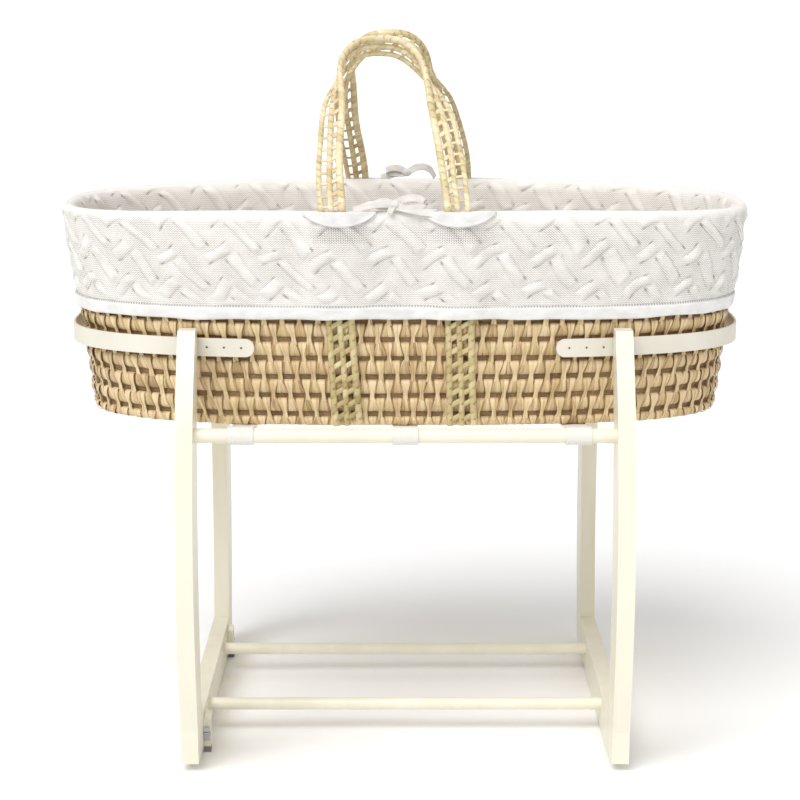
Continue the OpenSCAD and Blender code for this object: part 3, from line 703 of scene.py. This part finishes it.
def coiled_floor():
    rings, coils, wraps = 120, 9, 118
    angles = np.linspace(0, 2 * math.pi, 721)[:-1]
    share = np.linspace(0.0, 1.0, rings)
    half = foot_half - floor_gap
    edge = plan_radius(half[0], half[1], angles)
    coil = np.abs(np.sin(math.pi * share * coils))
    groove = 1 - coil[None] ** 0.6
    strip = np.sin(angles[:, None] * wraps + np.floor(share * coils)[None] * math.pi)
    low = FLOOR_Z + 0.4 * mm + groove * 2.2 * mm + 0.25 * mm * strip * coil[None]
    high = FLOOR_Z + 8 * mm - groove * 1.6 * mm + 0 * strip
    x = (edge * np.cos(angles))[:, None] * share[None]
    y = (edge * np.sin(angles))[:, None] * share[None]
    top = np.stack([x, y, high], -1)
    under = np.stack([x, y, low], -1)
    points = np.concatenate([under, top[:, ::-1]], 1)
    # Each wrap has its own tone; the grooves between the coils are painted darker, as painted shade
    tone = np.clip(0.5 + 0.22 * strip * coil[None] - 0.25 * (1 - coil[None]), 0, 1)
    tone = np.concatenate([tone, tone[:, ::-1]], 1)
    quads = quads_of(len(angles), 2 * rings, True)[:, ::-1]
    made = piece(
        "coiled_floor", points, quads, wall_leaf, "basket", "palm_leaf", points[..., :2],
        tone=tone.ravel(), green=0.1)
    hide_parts("basket_floor")


coiled_floor()

# ---- Leaf bands and handles: three wrapped cords joined by rungs and slanting leaves ----

# Where the three cords lie across the band, and their radii
BAND_CORDS = np.array([-13.4, -0.4, 13.0]) * mm, np.array([3.5, 3.3, 3.9]) * mm
HANDLE_CORDS = np.array([-12.4, -0.9, 10.6]) * mm, np.array([3.0, 3.4, 4.2]) * mm
RUNG_PITCH = 16.0 * mm


def ladder(parts, path, across, through, seed, cords, rungs, mirror, tone, green):
    """Three cords along a path, with rungs or a zigzag in the first gap and a zigzag in the second."""
    cord_at, cord_r = cords
    run = travelled(path)
    local = np.random.default_rng(seed)
    for i, (x, r) in enumerate(zip(cord_at, cord_r)):
        wave = 0.5 * mm * np.sin(run / (23 * mm) + i * 2 + seed)
        cord_path = path + across * (mirror * (x + wave))[:, None]
        points, quads, uv, shade, tint = swept_cord(
            cord_path, across, through, r, pitch=9.5 * mm, seed=seed * 7 + i, tone=tone, green=green)
        parts.add(points, quads, uv, tone=shade, green=tint)

    def tie(start, end, width, lift, shade):
        """A flat leaf from one cord to the next, bowed over them; an end is a run and a place across."""
        stations, sides, half_t = 7, 6, 0.9 * mm
        k = np.linspace(0, 1, stations)
        s, x = (start[i] + (end[i] - start[i]) * k for i in (0, 1))
        normal = unit(looked_up(s, run, through))
        bowed = (lift * (1 - 0.25 * np.sin(math.pi * k)))[:, None]
        centre = looked_up(s, run, path) + looked_up(s, run, across) * (mirror * x)[:, None] + normal * bowed
        side = np.cross(normal, unit(np.gradient(centre, axis=0)))
        turn = np.linspace(0, 2 * math.pi, sides + 1)[:-1]
        rows = [centre + side * math.cos(a) * width / 2 + normal * math.sin(a) * half_t for a in turn]
        uv = pairs(np.linspace(0, 1, sides)[None] * width, (k * 12 * mm)[:, None])
        parts.add(np.stack(rows, 1), quads_of(stations, sides, False, True), uv, tone=shade, green=green)

    left, middle, right = cord_at
    count = int((run[-1] - 12 * mm) / RUNG_PITCH)
    for n in range(count + 1):
        s = 6 * mm + n * RUNG_PITCH + local.normal(0, 0.7 * mm)
        if s > run[-1] - 5 * mm:
            continue
        shade = float(np.clip(local.normal(tone, 0.12), 0, 1))
        slanted = s + RUNG_PITCH / 2
        room = s + RUNG_PITCH < run[-1]
        if rungs:
            level = s + local.normal(0, 1.2 * mm)
            tie((s, left - 1.5 * mm), (level, middle + 1.5 * mm), 4.0 * mm, 0.9 * mm, shade)
        elif room:
            tie((s, left - 1 * mm), (slanted, middle + 1 * mm), 6.4 * mm, 0.9 * mm, shade)
        if room:
            tie((s, middle - 1 * mm), (slanted, right + 1 * mm), 6.2 * mm, 1.0 * mm, shade * 0.95)


def turned(points):
    """Half a turn about the vertical, from the front to the back."""
    return points * np.array([-1.0, -1.0, 1.0])


BAND_OUT = 3.9 * mm


def leaf_band(end, i, side):
    """One band up the wall; i tells the front pair's left from its right."""
    z = np.linspace(FLOOR_Z + 2 * mm, BAND_TOP_Z, 170)
    path = np.stack([band_x(i, z), -(np.interp(z, LEVELS, HALF_WIDTHS) + BAND_OUT), z], -1)
    tangent = unit(np.gradient(path, axis=0))
    across = unit(np.cross(tangent, np.array([0, -1.0, 0])))
    across *= np.sign(across[:, :1])
    through = np.cross(across, tangent)
    through *= -np.sign(through[:, 1:2])
    if end == "rear":
        path, across, through = turned(path), turned(across), turned(through)
    band = Parts()
    seed = 3 + i + 5 * (end == "rear")
    ladder(band, path, across, through, seed, BAND_CORDS, False, 1, 0.64, 0.75)
    made = band.make(f"{end}_{side}_leaf_band", pale_leaf, "basket", "pale_leaf")
    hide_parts(f"{end}_{side}_band")


for end, i, side in (("front", 0, "left"), ("front", 1, "right"), ("rear", 1, "left"), ("rear", 0, "right")):
    leaf_band(end, i, side)

# Handle loop in its own plane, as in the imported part: a rounded arch that leans a little to one side
LOOP_H = 236 * mm
LOOP_TILT = math.radians(40)
LOOP_SIDE = -19 * mm
LOOP_POWER = 2.7
LOOP_TWIST = math.radians(104)
FOOT_HALF = (HANDLE_FOOT_X[1] - HANDLE_FOOT_X[0]) / 2
FOOT_MID = (HANDLE_FOOT_X[1] + HANDLE_FOOT_X[0]) / 2
STUB = 20 * mm


def loop_line(height, middle):
    """Evenly spaced points of a loop in its plane, with a straight stub below each foot."""
    s = np.linspace(0, math.pi, 1201)
    up = height * np.sin(s) ** (2 / LOOP_POWER)
    x = -np.sign(np.cos(s)) * np.abs(np.cos(s)) ** (2 / LOOP_POWER) * FOOT_HALF
    arch = np.stack([middle + x + LOOP_SIDE * up / LOOP_H, up], -1)
    down = np.linspace(-STUB, 0, 12)[:-1]
    first = np.stack([np.full(len(down), arch[0, 0]), down], -1)
    last = np.stack([np.full(len(down), arch[-1, 0]), down[::-1]], -1)
    line = np.concatenate([first, arch, last])
    run = travelled(line)
    return looked_up(np.linspace(0, run[-1], 420), run, line)


def handle(end):
    """The three-cord band of one handle; it runs down into the fabric, where it bends at the fold."""
    front = end == "front"
    sign = -1 if front else 1
    flat = loop_line(LOOP_H - (5 * mm if front else 0), FOOT_MID if front else -FOOT_MID)
    tangent = unit(np.gradient(flat, axis=0))
    # The band twists towards the top, where it is held edge on
    w = -sign * LOOP_TWIST * smoothstep(flat[:, 1] / LOOP_H, 0.45, 0.95)
    across = np.stack([-tangent[:, 1] * np.cos(w), np.sin(w), tangent[:, 0] * np.cos(w)], -1)
    through = np.stack([tangent[:, 1] * np.sin(w), np.cos(w), -tangent[:, 0] * np.sin(w)], -1)
    path = np.stack([flat[:, 0], np.zeros(len(flat)), flat[:, 1]], -1)
    height = path[:, 2]
    if front:
        # The left leg of the front loop bows in a little at mid height
        mid_height = smoothstep(height, 0.03, 0.12) * (1 - smoothstep(height, 0.14, 0.22))
        path[:, 0] += 3 * mm * mid_height * (path[:, 0] < FOOT_MID)
    else:
        # The rear loop has slumped a little further to the left
        slump = 4 + 8 * smoothstep(height / LOOP_H, 0.05, 0.7)
        path[:, 0] -= slump * mm + 6 * mm * smoothstep(path[:, 0], 0, 0.06)
    fold = np.array(joints[f"{end}_handle_fold"]["pos_m"])
    lean = LOOP_TILT * sign
    c, d = math.cos(lean), math.sin(lean)
    tilt = np.array([[1, 0, 0], [0, c, -d], [0, d, c]])
    # The stub below the fold hangs straight down; above it the loop leans in
    ease = smoothstep(height, -6 * mm, 10 * mm)[:, None]
    path = path * (1 - ease) + (path @ tilt.T) * ease + fold
    across, through = across @ tilt.T, sign * through @ tilt.T
    seed, tone, green = (21, 0.86, 0.15) if front else (33, 0.74, 0.45)
    strips = Parts()
    ladder(strips, path, across, through, seed, HANDLE_CORDS, True, -1, tone, green)
    made = strips.make(f"{end}_leaf_handle", pale_leaf)
    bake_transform(made)
    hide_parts(f"{end}_handle")


for end in ("front", "rear"):
    handle(end)

# ---- Knitted dressing ----

CABLES = round(ROUND / (57.5 * mm))
CABLE_X = ROUND / CABLES
CABLE_Z = 40.5 * mm
CABLE_W = 12.5 * mm


def smooth_profile(stops, spacing):
    """Even points on a smooth curve through the stops; the first two numbers of a stop are its place."""
    p = np.array(stops, float)
    fine = []
    for i in range(len(p) - 1):
        a, b, c, d = p[max(i - 1, 0)], p[i], p[i + 1], p[min(i + 2, len(p) - 1)]
        for u in np.linspace(0, 1, 24, endpoint=False):
            square, cube = 2 * a - 5 * b + 4 * c - d, 3 * b - a - 3 * c + d
            fine.append(0.5 * (2 * b + (c - a) * u + square * u**2 + cube * u**3))
    fine.append(p[-1])
    fine = np.array(fine)
    run = travelled(fine[:, :2])
    return looked_up(np.linspace(0, run[-1], max(4, int(run[-1] / spacing) + 1)), run, fine)


def cable(du, dv, length, width, angle):
    """One raised cable: its height, the crease round it, and the short slits at two corners of its ends."""
    along = du * math.cos(angle) + dv * math.sin(angle)
    side = -du * math.sin(angle) + dv * math.cos(angle)
    body = np.clip(1 - (side / (width / 2)) ** 2, 0, 1) ** 0.75
    reach = length / 2 - np.abs(along)
    end = smoothstep(reach, -0.5 * mm, 5.5 * mm)
    beside = (np.abs(side) - width / 2 - 0.6 * mm) / (1.1 * mm)
    crease = np.exp(-(beside**2)) * smoothstep(reach, -2 * mm, 4 * mm)
    slit = 0
    for s in (-1, 1):
        past = (along - s * (length / 2 - 4 * mm)) / (3.0 * mm)
        off = (side - s * (width / 2 + 0.4 * mm)) / (0.8 * mm)
        slit = slit + np.exp(-(past**2 + off**2))
    return body * end, crease, slit


def knit_relief(run, v, seed):
    """Height of the cable pattern over the plain knit, a share that paints light on the cables and shade in the
    creases beside them, and the slits beside the cables.
    """
    warp_u = 4.0 * mm * np.sin(2 * math.pi * v / (97 * mm) + 2 * wander(run, seed, (3, 5, 13)))
    warp_v = 4.2 * mm * wander(run + v, seed + 1, (4, 9, 14, 31))
    u, w = run + warp_u, v + warp_v
    tall, crease_a, slit_a = cable(wrap(u, CABLE_X), wrap(w, CABLE_Z), 46 * mm, CABLE_W, math.radians(-50))
    short_u = wrap(u - 0.5 * CABLE_X, CABLE_X)
    short_w = wrap(w - 0.46 * CABLE_Z, CABLE_Z)
    short, crease_b, slit_b = cable(short_u, short_w, 29 * mm, CABLE_W, math.radians(36))
    uneven = 0.75 + 0.3 * wander(run + 1.7 * v, seed + 2, (23, 41, 67))
    raised = np.maximum(tall * uneven, short * (1.5 - uneven))
    crease = np.maximum(crease_a, crease_b)
    broken = 0.65 + 0.35 * wander(run + 2.3 * v, seed + 4, (37, 53, 71))
    slit = np.clip((slit_a + 0.8 * slit_b) * broken, 0, 1)
    height = 3.5 * mm * raised - 0.7 * mm * crease - 1.2 * mm * slit
    # The second value is painted light on the cables and painted shade in the creases round them
    return height, np.clip(raised - 0.9 * crease * (1 - raised), -1, 1), slit


def pucker(run, v, seed):
    """Slow unevenness of hand-fitted cloth."""
    slow = 0.9 * mm * wander(run, seed, (5, 11, 17)) * np.sin(2 * math.pi * v / (150 * mm) + 1.0)
    return slow + 0.45 * mm * wander(run + 0.2 * v, seed + 5, (23, 37, 41))


# Profiles of the cloth, as rows in millimetres: out from the wall, height, and lift over the bands
LIFT = 9 * mm
skirt_rows = [
    (2.6, HEM_TOP_Z / mm - 3, 9), (2.9, 542, 9), (3.1, 562, 9), (2.8, 580, 9), (3.0, 600, 9), (2.9, 615, 9),
    (2.2, 628, 8), (0.4, 636.8, 6), (-2.2, 641.2, 3), (-5.4, 643.0, 1)]
lining_rows = [
    (-4.6, 642.7, 1), (-5.8, 642.9, 1), (-9.0, 642.6, 0), (-13.0, 640.0, 0), (-16.6, 633.5, 0),
    (-17.6, 624, 0), (-16.8, 611, 0), (-14.6, 598, 0), (-13.6, 560, 0), (-13.2, 500, 0), (-13.0, 450, 0),
    (-13.2, FLOOR_TOP / mm + 6, 0), (-14.6, FLOOR_TOP / mm + 2.2, 0), (-18.0, FLOOR_TOP / mm + 0.5, 0),
    (-34.0, FLOOR_TOP / mm + 0.3, 0)]
facing_rows = [
    (0.0, 638.0, 9), (0.6, 642.0, 9), (2.0, 643.6, 9), (3.4, 642.4, 9), (4.3, 638.0, 9), (4.7, 632, 9),
    (4.8, 624, 9), (4.8, 614, 9)]
hem_rows = [
    (1.4, HEM_TOP_Z / mm - 1), (2.0, 530), (2.2, HEM_FOOT_Z / mm + 5.2), (3.0, HEM_FOOT_Z / mm + 4.0),
    (4.3, HEM_FOOT_Z / mm + 4.4), (5.3, HEM_FOOT_Z / mm + 7), (5.6, 532), (5.2, HEM_TOP_Z / mm - 2.6),
    (3.4, HEM_TOP_Z / mm - 0.8), (2.4, HEM_TOP_Z / mm + 0.2)]


def crest_swell(points, z):
    """The crest stands a little higher over the handles and lower round the two ends."""
    lift = smoothstep(z, 0.600, CREST_Z)
    return lift * (2.6 * mm - 5.5 * mm * smoothstep(np.abs(points[..., 0]), 0.16, 0.40))


def run_of(x, end):
    """Distance round the wall of the point at x on the crest, on the front or rear side."""
    # The table is taken at mid height, where the plan is smaller than at the crest
    crest_to_table = 0.96
    keep = np.sign(table_xy[:, 1]) == (-1 if end == "front" else 1)
    runs, xs = table_run[keep], table_xy[keep, 0]
    return float(runs[np.argmin(np.abs(xs - x * crest_to_table))])


# Where each handle foot passes the crest, measured round the wall
facing_runs = {
    ("front", "left"): run_of(HANDLE_FOOT_X[0] + 11 * mm, "front"),
    ("front", "right"): run_of(HANDLE_FOOT_X[1], "front"),
    ("rear", "left"): run_of(-HANDLE_FOOT_X[1], "rear"),
    ("rear", "right"): run_of(-HANDLE_FOOT_X[0], "rear"),
}


def knitted(name, rows, stations, material, slot, seed, outward, node):
    """A knitted surface round the basket; returns the piece and the length of its profile."""
    level, run = rows[None], np.linspace(0, ROUND, stations)[:, None]
    distance = travelled(rows[:, :2])[None]
    depth = distance[0, -1]
    relief, raised, slit = knit_relief(run, distance if outward else distance + 13 * mm, seed)
    # The pattern fades towards both edges of the skirt, and above the lining's foot
    if outward:
        appears, ends = (2 * mm, 12 * mm), (depth - 20 * mm, depth - 4 * mm)
    else:
        appears, ends = (7 * mm, 16 * mm), (0.18, 0.22)
    fade = smoothstep(distance, *appears) * (1 - smoothstep(distance, *ends))
    # The skirt and the lining meet along the crest, so neither puckers there
    loose = smoothstep(depth - distance if outward else distance, 1 * mm, 22 * mm)
    facing_out = 1 if outward else -1
    out = level[..., 0] + facing_out * (relief - 1.4 * mm) * fade + loose * pucker(run, distance, seed + 3)
    points = wall_point(run, level[..., 1] + 0 * run, out)
    points = lifted(points, level[..., 2] + 0 * run)
    points[..., 2] += crest_swell(points, points[..., 2])
    height = points[..., 2]
    # Where the gathered ribs get their stripes of painted shade: just below each facing
    gather = np.zeros_like(out)
    if outward:
        below_facing = smoothstep(height, 0.608, 0.614) * (1 - smoothstep(height, 0.625, 0.630))
        for middle in facing_runs.values():
            gather = gather + np.exp(-(((run - middle) / (30 * mm)) ** 4)) * below_facing
    # The crest of the roll is painted lighter, as painted light on its top
    painted_crest_light = 1 - smoothstep(np.abs(height - CREST_Z), 3 * mm, 13 * mm)
    made = piece(
        name, points, quads_of(stations, len(rows)), material, "basket", slot, pairs(run, distance),
        hole=(slit * smoothstep(fade, 0.3, 0.8)).ravel(), raised=(raised * fade + 2.5 * painted_crest_light).ravel(),
        gather=gather.ravel())
    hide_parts(node)
    return made, depth


skirt, skirt_drop = knitted(
    "knitted_skirt", smooth_profile(np.array(skirt_rows) * mm, 1.35 * mm), 1441, outer_knit, "knit", 5, True,
    "dressing_skirt")
lining, lining_drop = knitted(
    "knitted_lining", smooth_profile(np.array(lining_rows) * mm, 1.9 * mm), 961, lining_knit, "lining_knit",
    25, False, "dressing_lining")


def jersey_hem():
    """Plain jersey hem, doubled, with a rounded fold at its foot and a seam where it joins the knit."""
    spacing = 1.0 * mm
    rows = smooth_profile(np.array(hem_rows) * mm, spacing)
    flat_run = np.linspace(0, ROUND, 1201)
    run, out, z = flat_run[:, None], rows[None, :, 0], rows[None, :, 1]
    foot_share = 1 - smoothstep(z, 0.526, 0.536)
    ripple = 0.9 * mm * wander(run, 61, (9, 16, 27)) * foot_share
    drop = -4 * mm * np.cos(angle_at(run)) ** 2 * (1 - smoothstep(z, 0.53, 0.56))
    at_seam = smoothstep(z, HEM_TOP_Z - 1.6 * mm, HEM_TOP_Z)
    stitches = 0.35 * mm * np.cos(2 * math.pi * run / (2.6 * mm)) * at_seam
    out = out + 0.5 * mm * wander(run, 62, (21, 33, 45)) * foot_share + stitches
    points = lifted(wall_point(run, z + drop + ripple, out), np.full_like(out, LIFT))
    # The band along the seam that gets the grey zigzag: partly stitches, partly painted shade in the seam groove
    thread = smoothstep(z, HEM_TOP_Z - 2.4 * mm, HEM_TOP_Z - 0.9 * mm) + 0 * run
    made = piece(
        "jersey_hem", points, quads_of(len(flat_run), len(rows)), jersey, "basket", "jersey",
        pairs(run, np.arange(len(rows))[None] * spacing), seam=thread.ravel())
    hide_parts("dressing_hem")
    return made


hem = jersey_hem()


def facing(name, middle, node):
    """White lens-shaped facing at a handle foot: up in front of it, then down over the crest."""
    half = 39 * mm
    t = np.linspace(-1, 1, 61)
    run = middle + t * half
    reach = 19 * mm * np.sqrt(np.clip(1 - t**2, 0, 1)) ** 1.2 + 5 * mm
    rows = smooth_profile(np.array(facing_rows) * mm, 0.8 * mm)
    distance = travelled(rows[:, :2])
    k = np.linspace(0, 1, 26)
    along = reach[:, None] * k[None]
    out, z, lift = np.moveaxis(looked_up(along, distance, rows), -1, 0)
    edge = smoothstep(1 - np.abs(t), 0, 0.14)[:, None]
    roll = 1.1 * mm * np.exp(-(((k - 0.94) / 0.05) ** 2))
    crease = 0.35 * mm * np.sin(run[:, None] / (5 * mm) + 3 * k[None]) * smoothstep(k, 0.2, 0.6)
    out = out + (roll[None] + crease) * edge - 1.6 * mm * (1 - edge)
    points = lifted(wall_point(run[:, None] + 0 * along, z, out), lift)
    points[..., 2] += crest_swell(points, points[..., 2])
    made = piece(
        name, points, quads_of(len(run), len(k)), binding_cotton, "basket", "white_cotton",
        pairs(run[:, None], along))
    # Rows run down the outside here, so the faces turn round
    made.data.flip_normals()
    thick = made.modifiers.new("cloth_thickness", "SOLIDIFY")
    thick.thickness, thick.offset = 1.1 * mm, -1
    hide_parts(node)


for (end, side), middle in facing_runs.items():
    facing(f"{end}_{side}_facing", middle, f"{end}_{side}_slot_binding")

# ---- Ribbon bows ----


def ribbon(parts, stops, width, hint):
    """A soft flat ribbon through the stops; hint is the direction its width lies along, one per stop."""
    half_t, cup, columns = 0.45 * mm, 0.7 * mm, 9
    fine = smooth_profile(np.concatenate([np.array(stops, float) * mm, np.array(hint, float)], 1), 1.2 * mm)
    rows = max(24, len(fine))
    fine = looked_up(np.linspace(0, 1, rows), np.linspace(0, 1, len(fine)), fine)
    path, side = fine[:, :3], fine[:, 3:]
    along = unit(np.gradient(path, axis=0))
    side = unit(side - along * np.sum(side * along, axis=1, keepdims=True))
    up = np.cross(along, side)
    k = np.linspace(-1, 1, columns)
    # The upper face from edge to edge, then the lower face back
    across = np.concatenate([k, k[::-1]]) * width / 2
    rise = np.repeat([half_t, -half_t], columns) + cup * np.concatenate([k, k[::-1]]) ** 2
    points = path[:, None] + side[:, None] * across[:, None] + up[:, None] * rise[:, None]
    first = parts.count
    quads = quads_of(rows, 2 * columns, False, True)
    parts.add(points, quads, pairs(across[None], travelled(path)[:, None]))
    # Closed ends
    for row, flip in ((0, False), (rows - 1, True)):
        base = first + row * 2 * columns
        for j in range(columns - 1):
            far = base + 2 * columns - 1 - j
            quad = [base + j, base + j + 1, far - 1, far]
            parts.quads.append(np.array([quad[::-1] if flip else quad]))


def knot(parts, centre, size):
    """A small pinched knot: a rounded lump with folds running over it."""
    a, b = np.meshgrid(np.linspace(0, 2 * math.pi, 33), np.linspace(0, math.pi, 17), indexing="ij")
    fold = 1 + 0.10 * np.cos(5 * a) * np.sin(b)
    ball = np.stack([np.sin(b) * np.cos(a), np.sin(b) * np.sin(a), -np.cos(b)], -1)
    points = (ball * fold[..., None] * np.array(size) + np.array(centre)) * mm
    parts.add(points, quads_of(33, 17), pairs(a, b) * 6 * mm)


def front_bow(parts):
    """A long tail and a loop on either side of the knot, and a short end in front of it."""
    up = (0, 0.25, 1.0)
    left_tail = [(-2, 0, 5), (-12, -2, 7), (-26, -4, 6), (-38, -5, 3), (-48, -6, 1)]
    right_loop = [
        (0, 1, 6), (9, 1, 11), (20, 1, 13), (29, -1, 11), (32, -4, 7), (27, -6, 4.5), (15, -4, 4), (3, -1, 4)]
    right_tail = [(1, -3, 4), (12, -6, 1.5), (24, -9, -1), (36, -10, -2.5), (47, -9, -2.5)]
    short_end = [(-2, -2, 4), (-4.5, -5, 1), (-6, -7, -2), (-7, -8, -4)]
    left_loop = [(-1, 1, 5), (-9, 2, 8.5), (-17, 3, 8.5), (-22, 3, 5), (-15, 2, 3), (-4, 0, 3)]
    ribbon(parts, left_tail, 9.5 * mm, [up, (0, 0.4, 1), (0, 0.5, 0.9), (0, 0.6, 0.8), (0, 0.7, 0.7)])
    ribbon(parts, right_loop, 8.5 * mm, [up] * 4 + [(0, 0.7, 0.8)] * 2 + [(0, 0.9, 0.5)] * 2)
    ribbon(parts, right_tail, 8.5 * mm, [up, up, (0, 0.35, 0.95), (0, 0.35, 0.95), (0, 0.3, 1)])
    ribbon(parts, short_end, 7 * mm, [(1, 0, 0.3)] * 4)
    ribbon(parts, left_loop, 8 * mm, [up] * 6)
    knot(parts, (0, -1, 6), (5.6, 4.4, 5.2))


def rear_bow(parts):
    """A loop, a drooping loop and a tail; its width leans the other way, towards the light."""
    up = (0, -0.35, 1.0)
    loop = [(0, 1, 6), (9, 1, 11), (20, 0, 12), (27, -1, 8), (20, -3, 5), (4, 0, 4)]
    drooping = [(-2, 0, 6), (-12, 0, 12), (-22, -1, 13), (-30, -3, 9), (-34, -6, 3), (-36, -8, -2)]
    tail = [(2, -1, 5), (14, -3, 4), (25, -5, 1.5), (34, -7, -1)]
    ribbon(parts, loop, 8.5 * mm, [up] * 6)
    ribbon(parts, drooping, 9 * mm, [up] * 6)
    ribbon(parts, tail, 8.5 * mm, [up] * 4)
    knot(parts, (0, 0, 6), (5.4, 4.4, 5.2))


def bow(end, drawn):
    """Puts a bow on the crest; it is drawn for the front, in millimetres from the middle of the crest."""
    parts = Parts()
    drawn(parts)
    place = np.array([-11 * mm, -(top_half[1] + 1.5 * mm), CREST_Z + 6 * mm])
    parts.points = [points + place for points in parts.points]
    if end == "rear":
        parts.points = [turned(points) + np.array([-8 * mm, 0, 0]) for points in parts.points]
    made = parts.make(f"{end}_ribbon_bow", ribbon_cotton, "basket", "white_cotton")
    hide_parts(f"{end}_bow")


bow("front", front_bow)
bow("rear", rear_bow)

# ---- Mattress: a quilted pad, filled by a short cloth simulation ----


def filled(made, points, most):
    """Where the points of a closed cover go when it is blown up a little, moved no further than most."""
    frames = 16
    cloth = made.modifiers.new("fill", "CLOTH")
    cloth.settings.use_pressure = True
    cloth.settings.uniform_pressure_force = 4
    cloth.settings.quality = 4
    cloth.settings.effector_weights.gravity = 0
    scene.frame_start, scene.frame_end = 1, frames
    for step in range(1, frames + 1):
        scene.frame_set(step)
    swollen = made.evaluated_get(bpy.context.evaluated_depsgraph_get())
    move = np.array([v.co for v in swollen.data.vertices], float) - points
    made.modifiers.clear()
    scene.frame_set(1)
    far = np.linalg.norm(move, axis=1, keepdims=True)
    return points + move * np.clip(far, 0, most) / np.maximum(far, 1e-9)


def mattress():
    low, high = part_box("mattress_cover")
    half = np.array([high.x, high.y])
    thick = high.z - low.z
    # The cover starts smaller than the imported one, so that the filling can swell it
    inset = 5 * mm
    rings, around = 16, 96
    angles = np.linspace(0, 2 * math.pi, around + 1)[:-1]
    edge = plan_radius(half[0] - inset, half[1] - inset, angles)
    share = np.concatenate([np.linspace(0.001, 1, rings), [1.0], np.linspace(1, 0.001, rings)])
    z = np.repeat([low.z + inset, low.z + thick / 2, high.z - inset], [rings, 1, rings])
    x = (edge * np.cos(angles))[:, None] * share[None]
    y = (edge * np.sin(angles))[:, None] * share[None]
    points = np.stack([x, y, z[None] + 0 * x], -1)
    made = piece(
        "mattress", points, quads_of(around, len(share), True), mattress_cotton, "mattress",
        "mattress_cotton", points[..., :2])
    after = points.reshape(-1, 3)
    after = filled(made, after, 6 * mm)
    set_points(made.data, after)
    made.data.update()
    finer = made.modifiers.new("finer", "SUBSURF")
    finer.levels = finer.render_levels = 2
    dense = bpy.data.meshes.new_from_object(made.evaluated_get(bpy.context.evaluated_depsgraph_get()))
    made.modifiers.clear()
    made.data = dense
    co = np.zeros(len(dense.vertices) * 3, np.float32)
    dense.vertices.foreach_get("co", co)
    co = co.reshape(-1, 3).astype(float)
    # Quilted lines over the top, and flat where it rests on the basket floor
    quilt_pitch, quilt_depth, crown = 52 * mm, 3.2 * mm, 3 * mm
    upper = smoothstep(co[:, 2], low.z + 0.6 * thick, high.z - 3 * mm)
    dent = 0
    for lean in (math.radians(45), math.radians(-45)):
        line = wrap(co[:, 0] * math.cos(lean) + co[:, 1] * math.sin(lean), quilt_pitch)
        dent = np.maximum(dent, np.exp(-np.abs(line) / (5 * mm)))
    co[:, 2] = np.clip(co[:, 2] - upper * quilt_depth * dent, low.z, high.z + crown)
    inside = plan_radius(half[0] - 0.3 * mm, half[1] - 0.3 * mm, np.arctan2(co[:, 1], co[:, 0]))
    reach = np.hypot(co[:, 0], co[:, 1])
    co[:, :2] *= np.minimum(1, inside / np.maximum(reach, 1e-6))[:, None]
    set_points(dense, co)
    dense.update()
    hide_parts("mattress_cover", "mattress_core")


mattress()

# ---- Lengths round the wall, 6 mm out from it and 13 mm in from it ----

way_outside = round(ROUND + 2 * math.pi * 6 * mm, 3)
way_inside = round(ROUND - 2 * math.pi * 13 * mm, 3)

# ---- Stand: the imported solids, with softened edges and their own finishes ----

EDGE_WIDTHS = {"painted_wood": 2.2 * mm, "strap": 0.7 * mm, "webbing": 0.4 * mm, "tip_rubber": 0.6 * mm}
for entry in frame["record"]["subparts"]:
    node = frame["nodes"][entry["node"]]
    slot = entry["material_slot"]
    if node.hide_render or slot not in by_slot:
        continue
    node.data.materials.clear()
    node.data.materials.append(by_slot[slot])
    if slot in EDGE_WIDTHS:
        bevel = node.modifiers.new("soft_edges", "BEVEL")
        bevel.width = EDGE_WIDTHS[slot]
        bevel.segments = 3
        bevel.limit_method = "ANGLE"
        bevel.angle_limit = math.radians(38)

# ---- Stage: a plain pale floor and soft studio light ----


def stage_material():
    m = Nodes("studio_floor", roughness=0.9, specular=0.1)
    darker, paler = (0.95, 0.95, 0.95, 1), (0.97, 0.97, 0.97, 1)
    colour = m.ramp(m.noise(m.place(), 3.0, 2.0), (0.0, darker), (1.0, paler))
    m.put(colour, m.shader.inputs["Base Color"])
    return m.material


STAGE_HALF = 400.0
corners = np.array([[(x, y, 0.0) for x in (-STAGE_HALF, STAGE_HALF)] for y in (-STAGE_HALF, STAGE_HALF)])
studio = piece("studio_floor", corners, quads_of(2, 2)[:, ::-1], stage_material())


def sun(name, direction, strength, spread):
    """Light from far away along a direction; the spread softens its shadows."""
    data = bpy.data.lights.new(name, "SUN")
    data.energy, data.angle = strength, math.radians(spread)
    made = added(name, data)
    x, y, z = np.array(direction) / np.linalg.norm(direction)
    made.rotation_euler = (math.acos(-z), 0.0, math.atan2(y, x) - math.pi / 2)


sun("key", (0.42, 0.75, -1.05), 2.05, 42)
sun("top", (-0.15, 0.1, -1.0), 0.6, 100)

world = bpy.data.worlds.new("studio")
scene.world = world
world.use_nodes = True
background = world.node_tree.nodes["Background"]
background.inputs["Color"].default_value = (1.0, 1.0, 1.0, 1)
background.inputs["Strength"].default_value = 0.5
scene.view_settings.view_transform = "Standard"

# ---- Camera at the photograph's viewing angle ----

CAMERA_TILT = math.radians(11.185)
camera_data = bpy.data.cameras.new("camera")
camera = added("camera", camera_data)
camera_data.sensor_width = 36
camera_data.lens = 96.3
camera.location = (-0.006, -2.60, 0.904)
camera.rotation_euler = (math.pi / 2 - CAMERA_TILT, 0, 0)
camera_data.clip_start, camera_data.clip_end = 0.1, 1000
scene.camera = camera
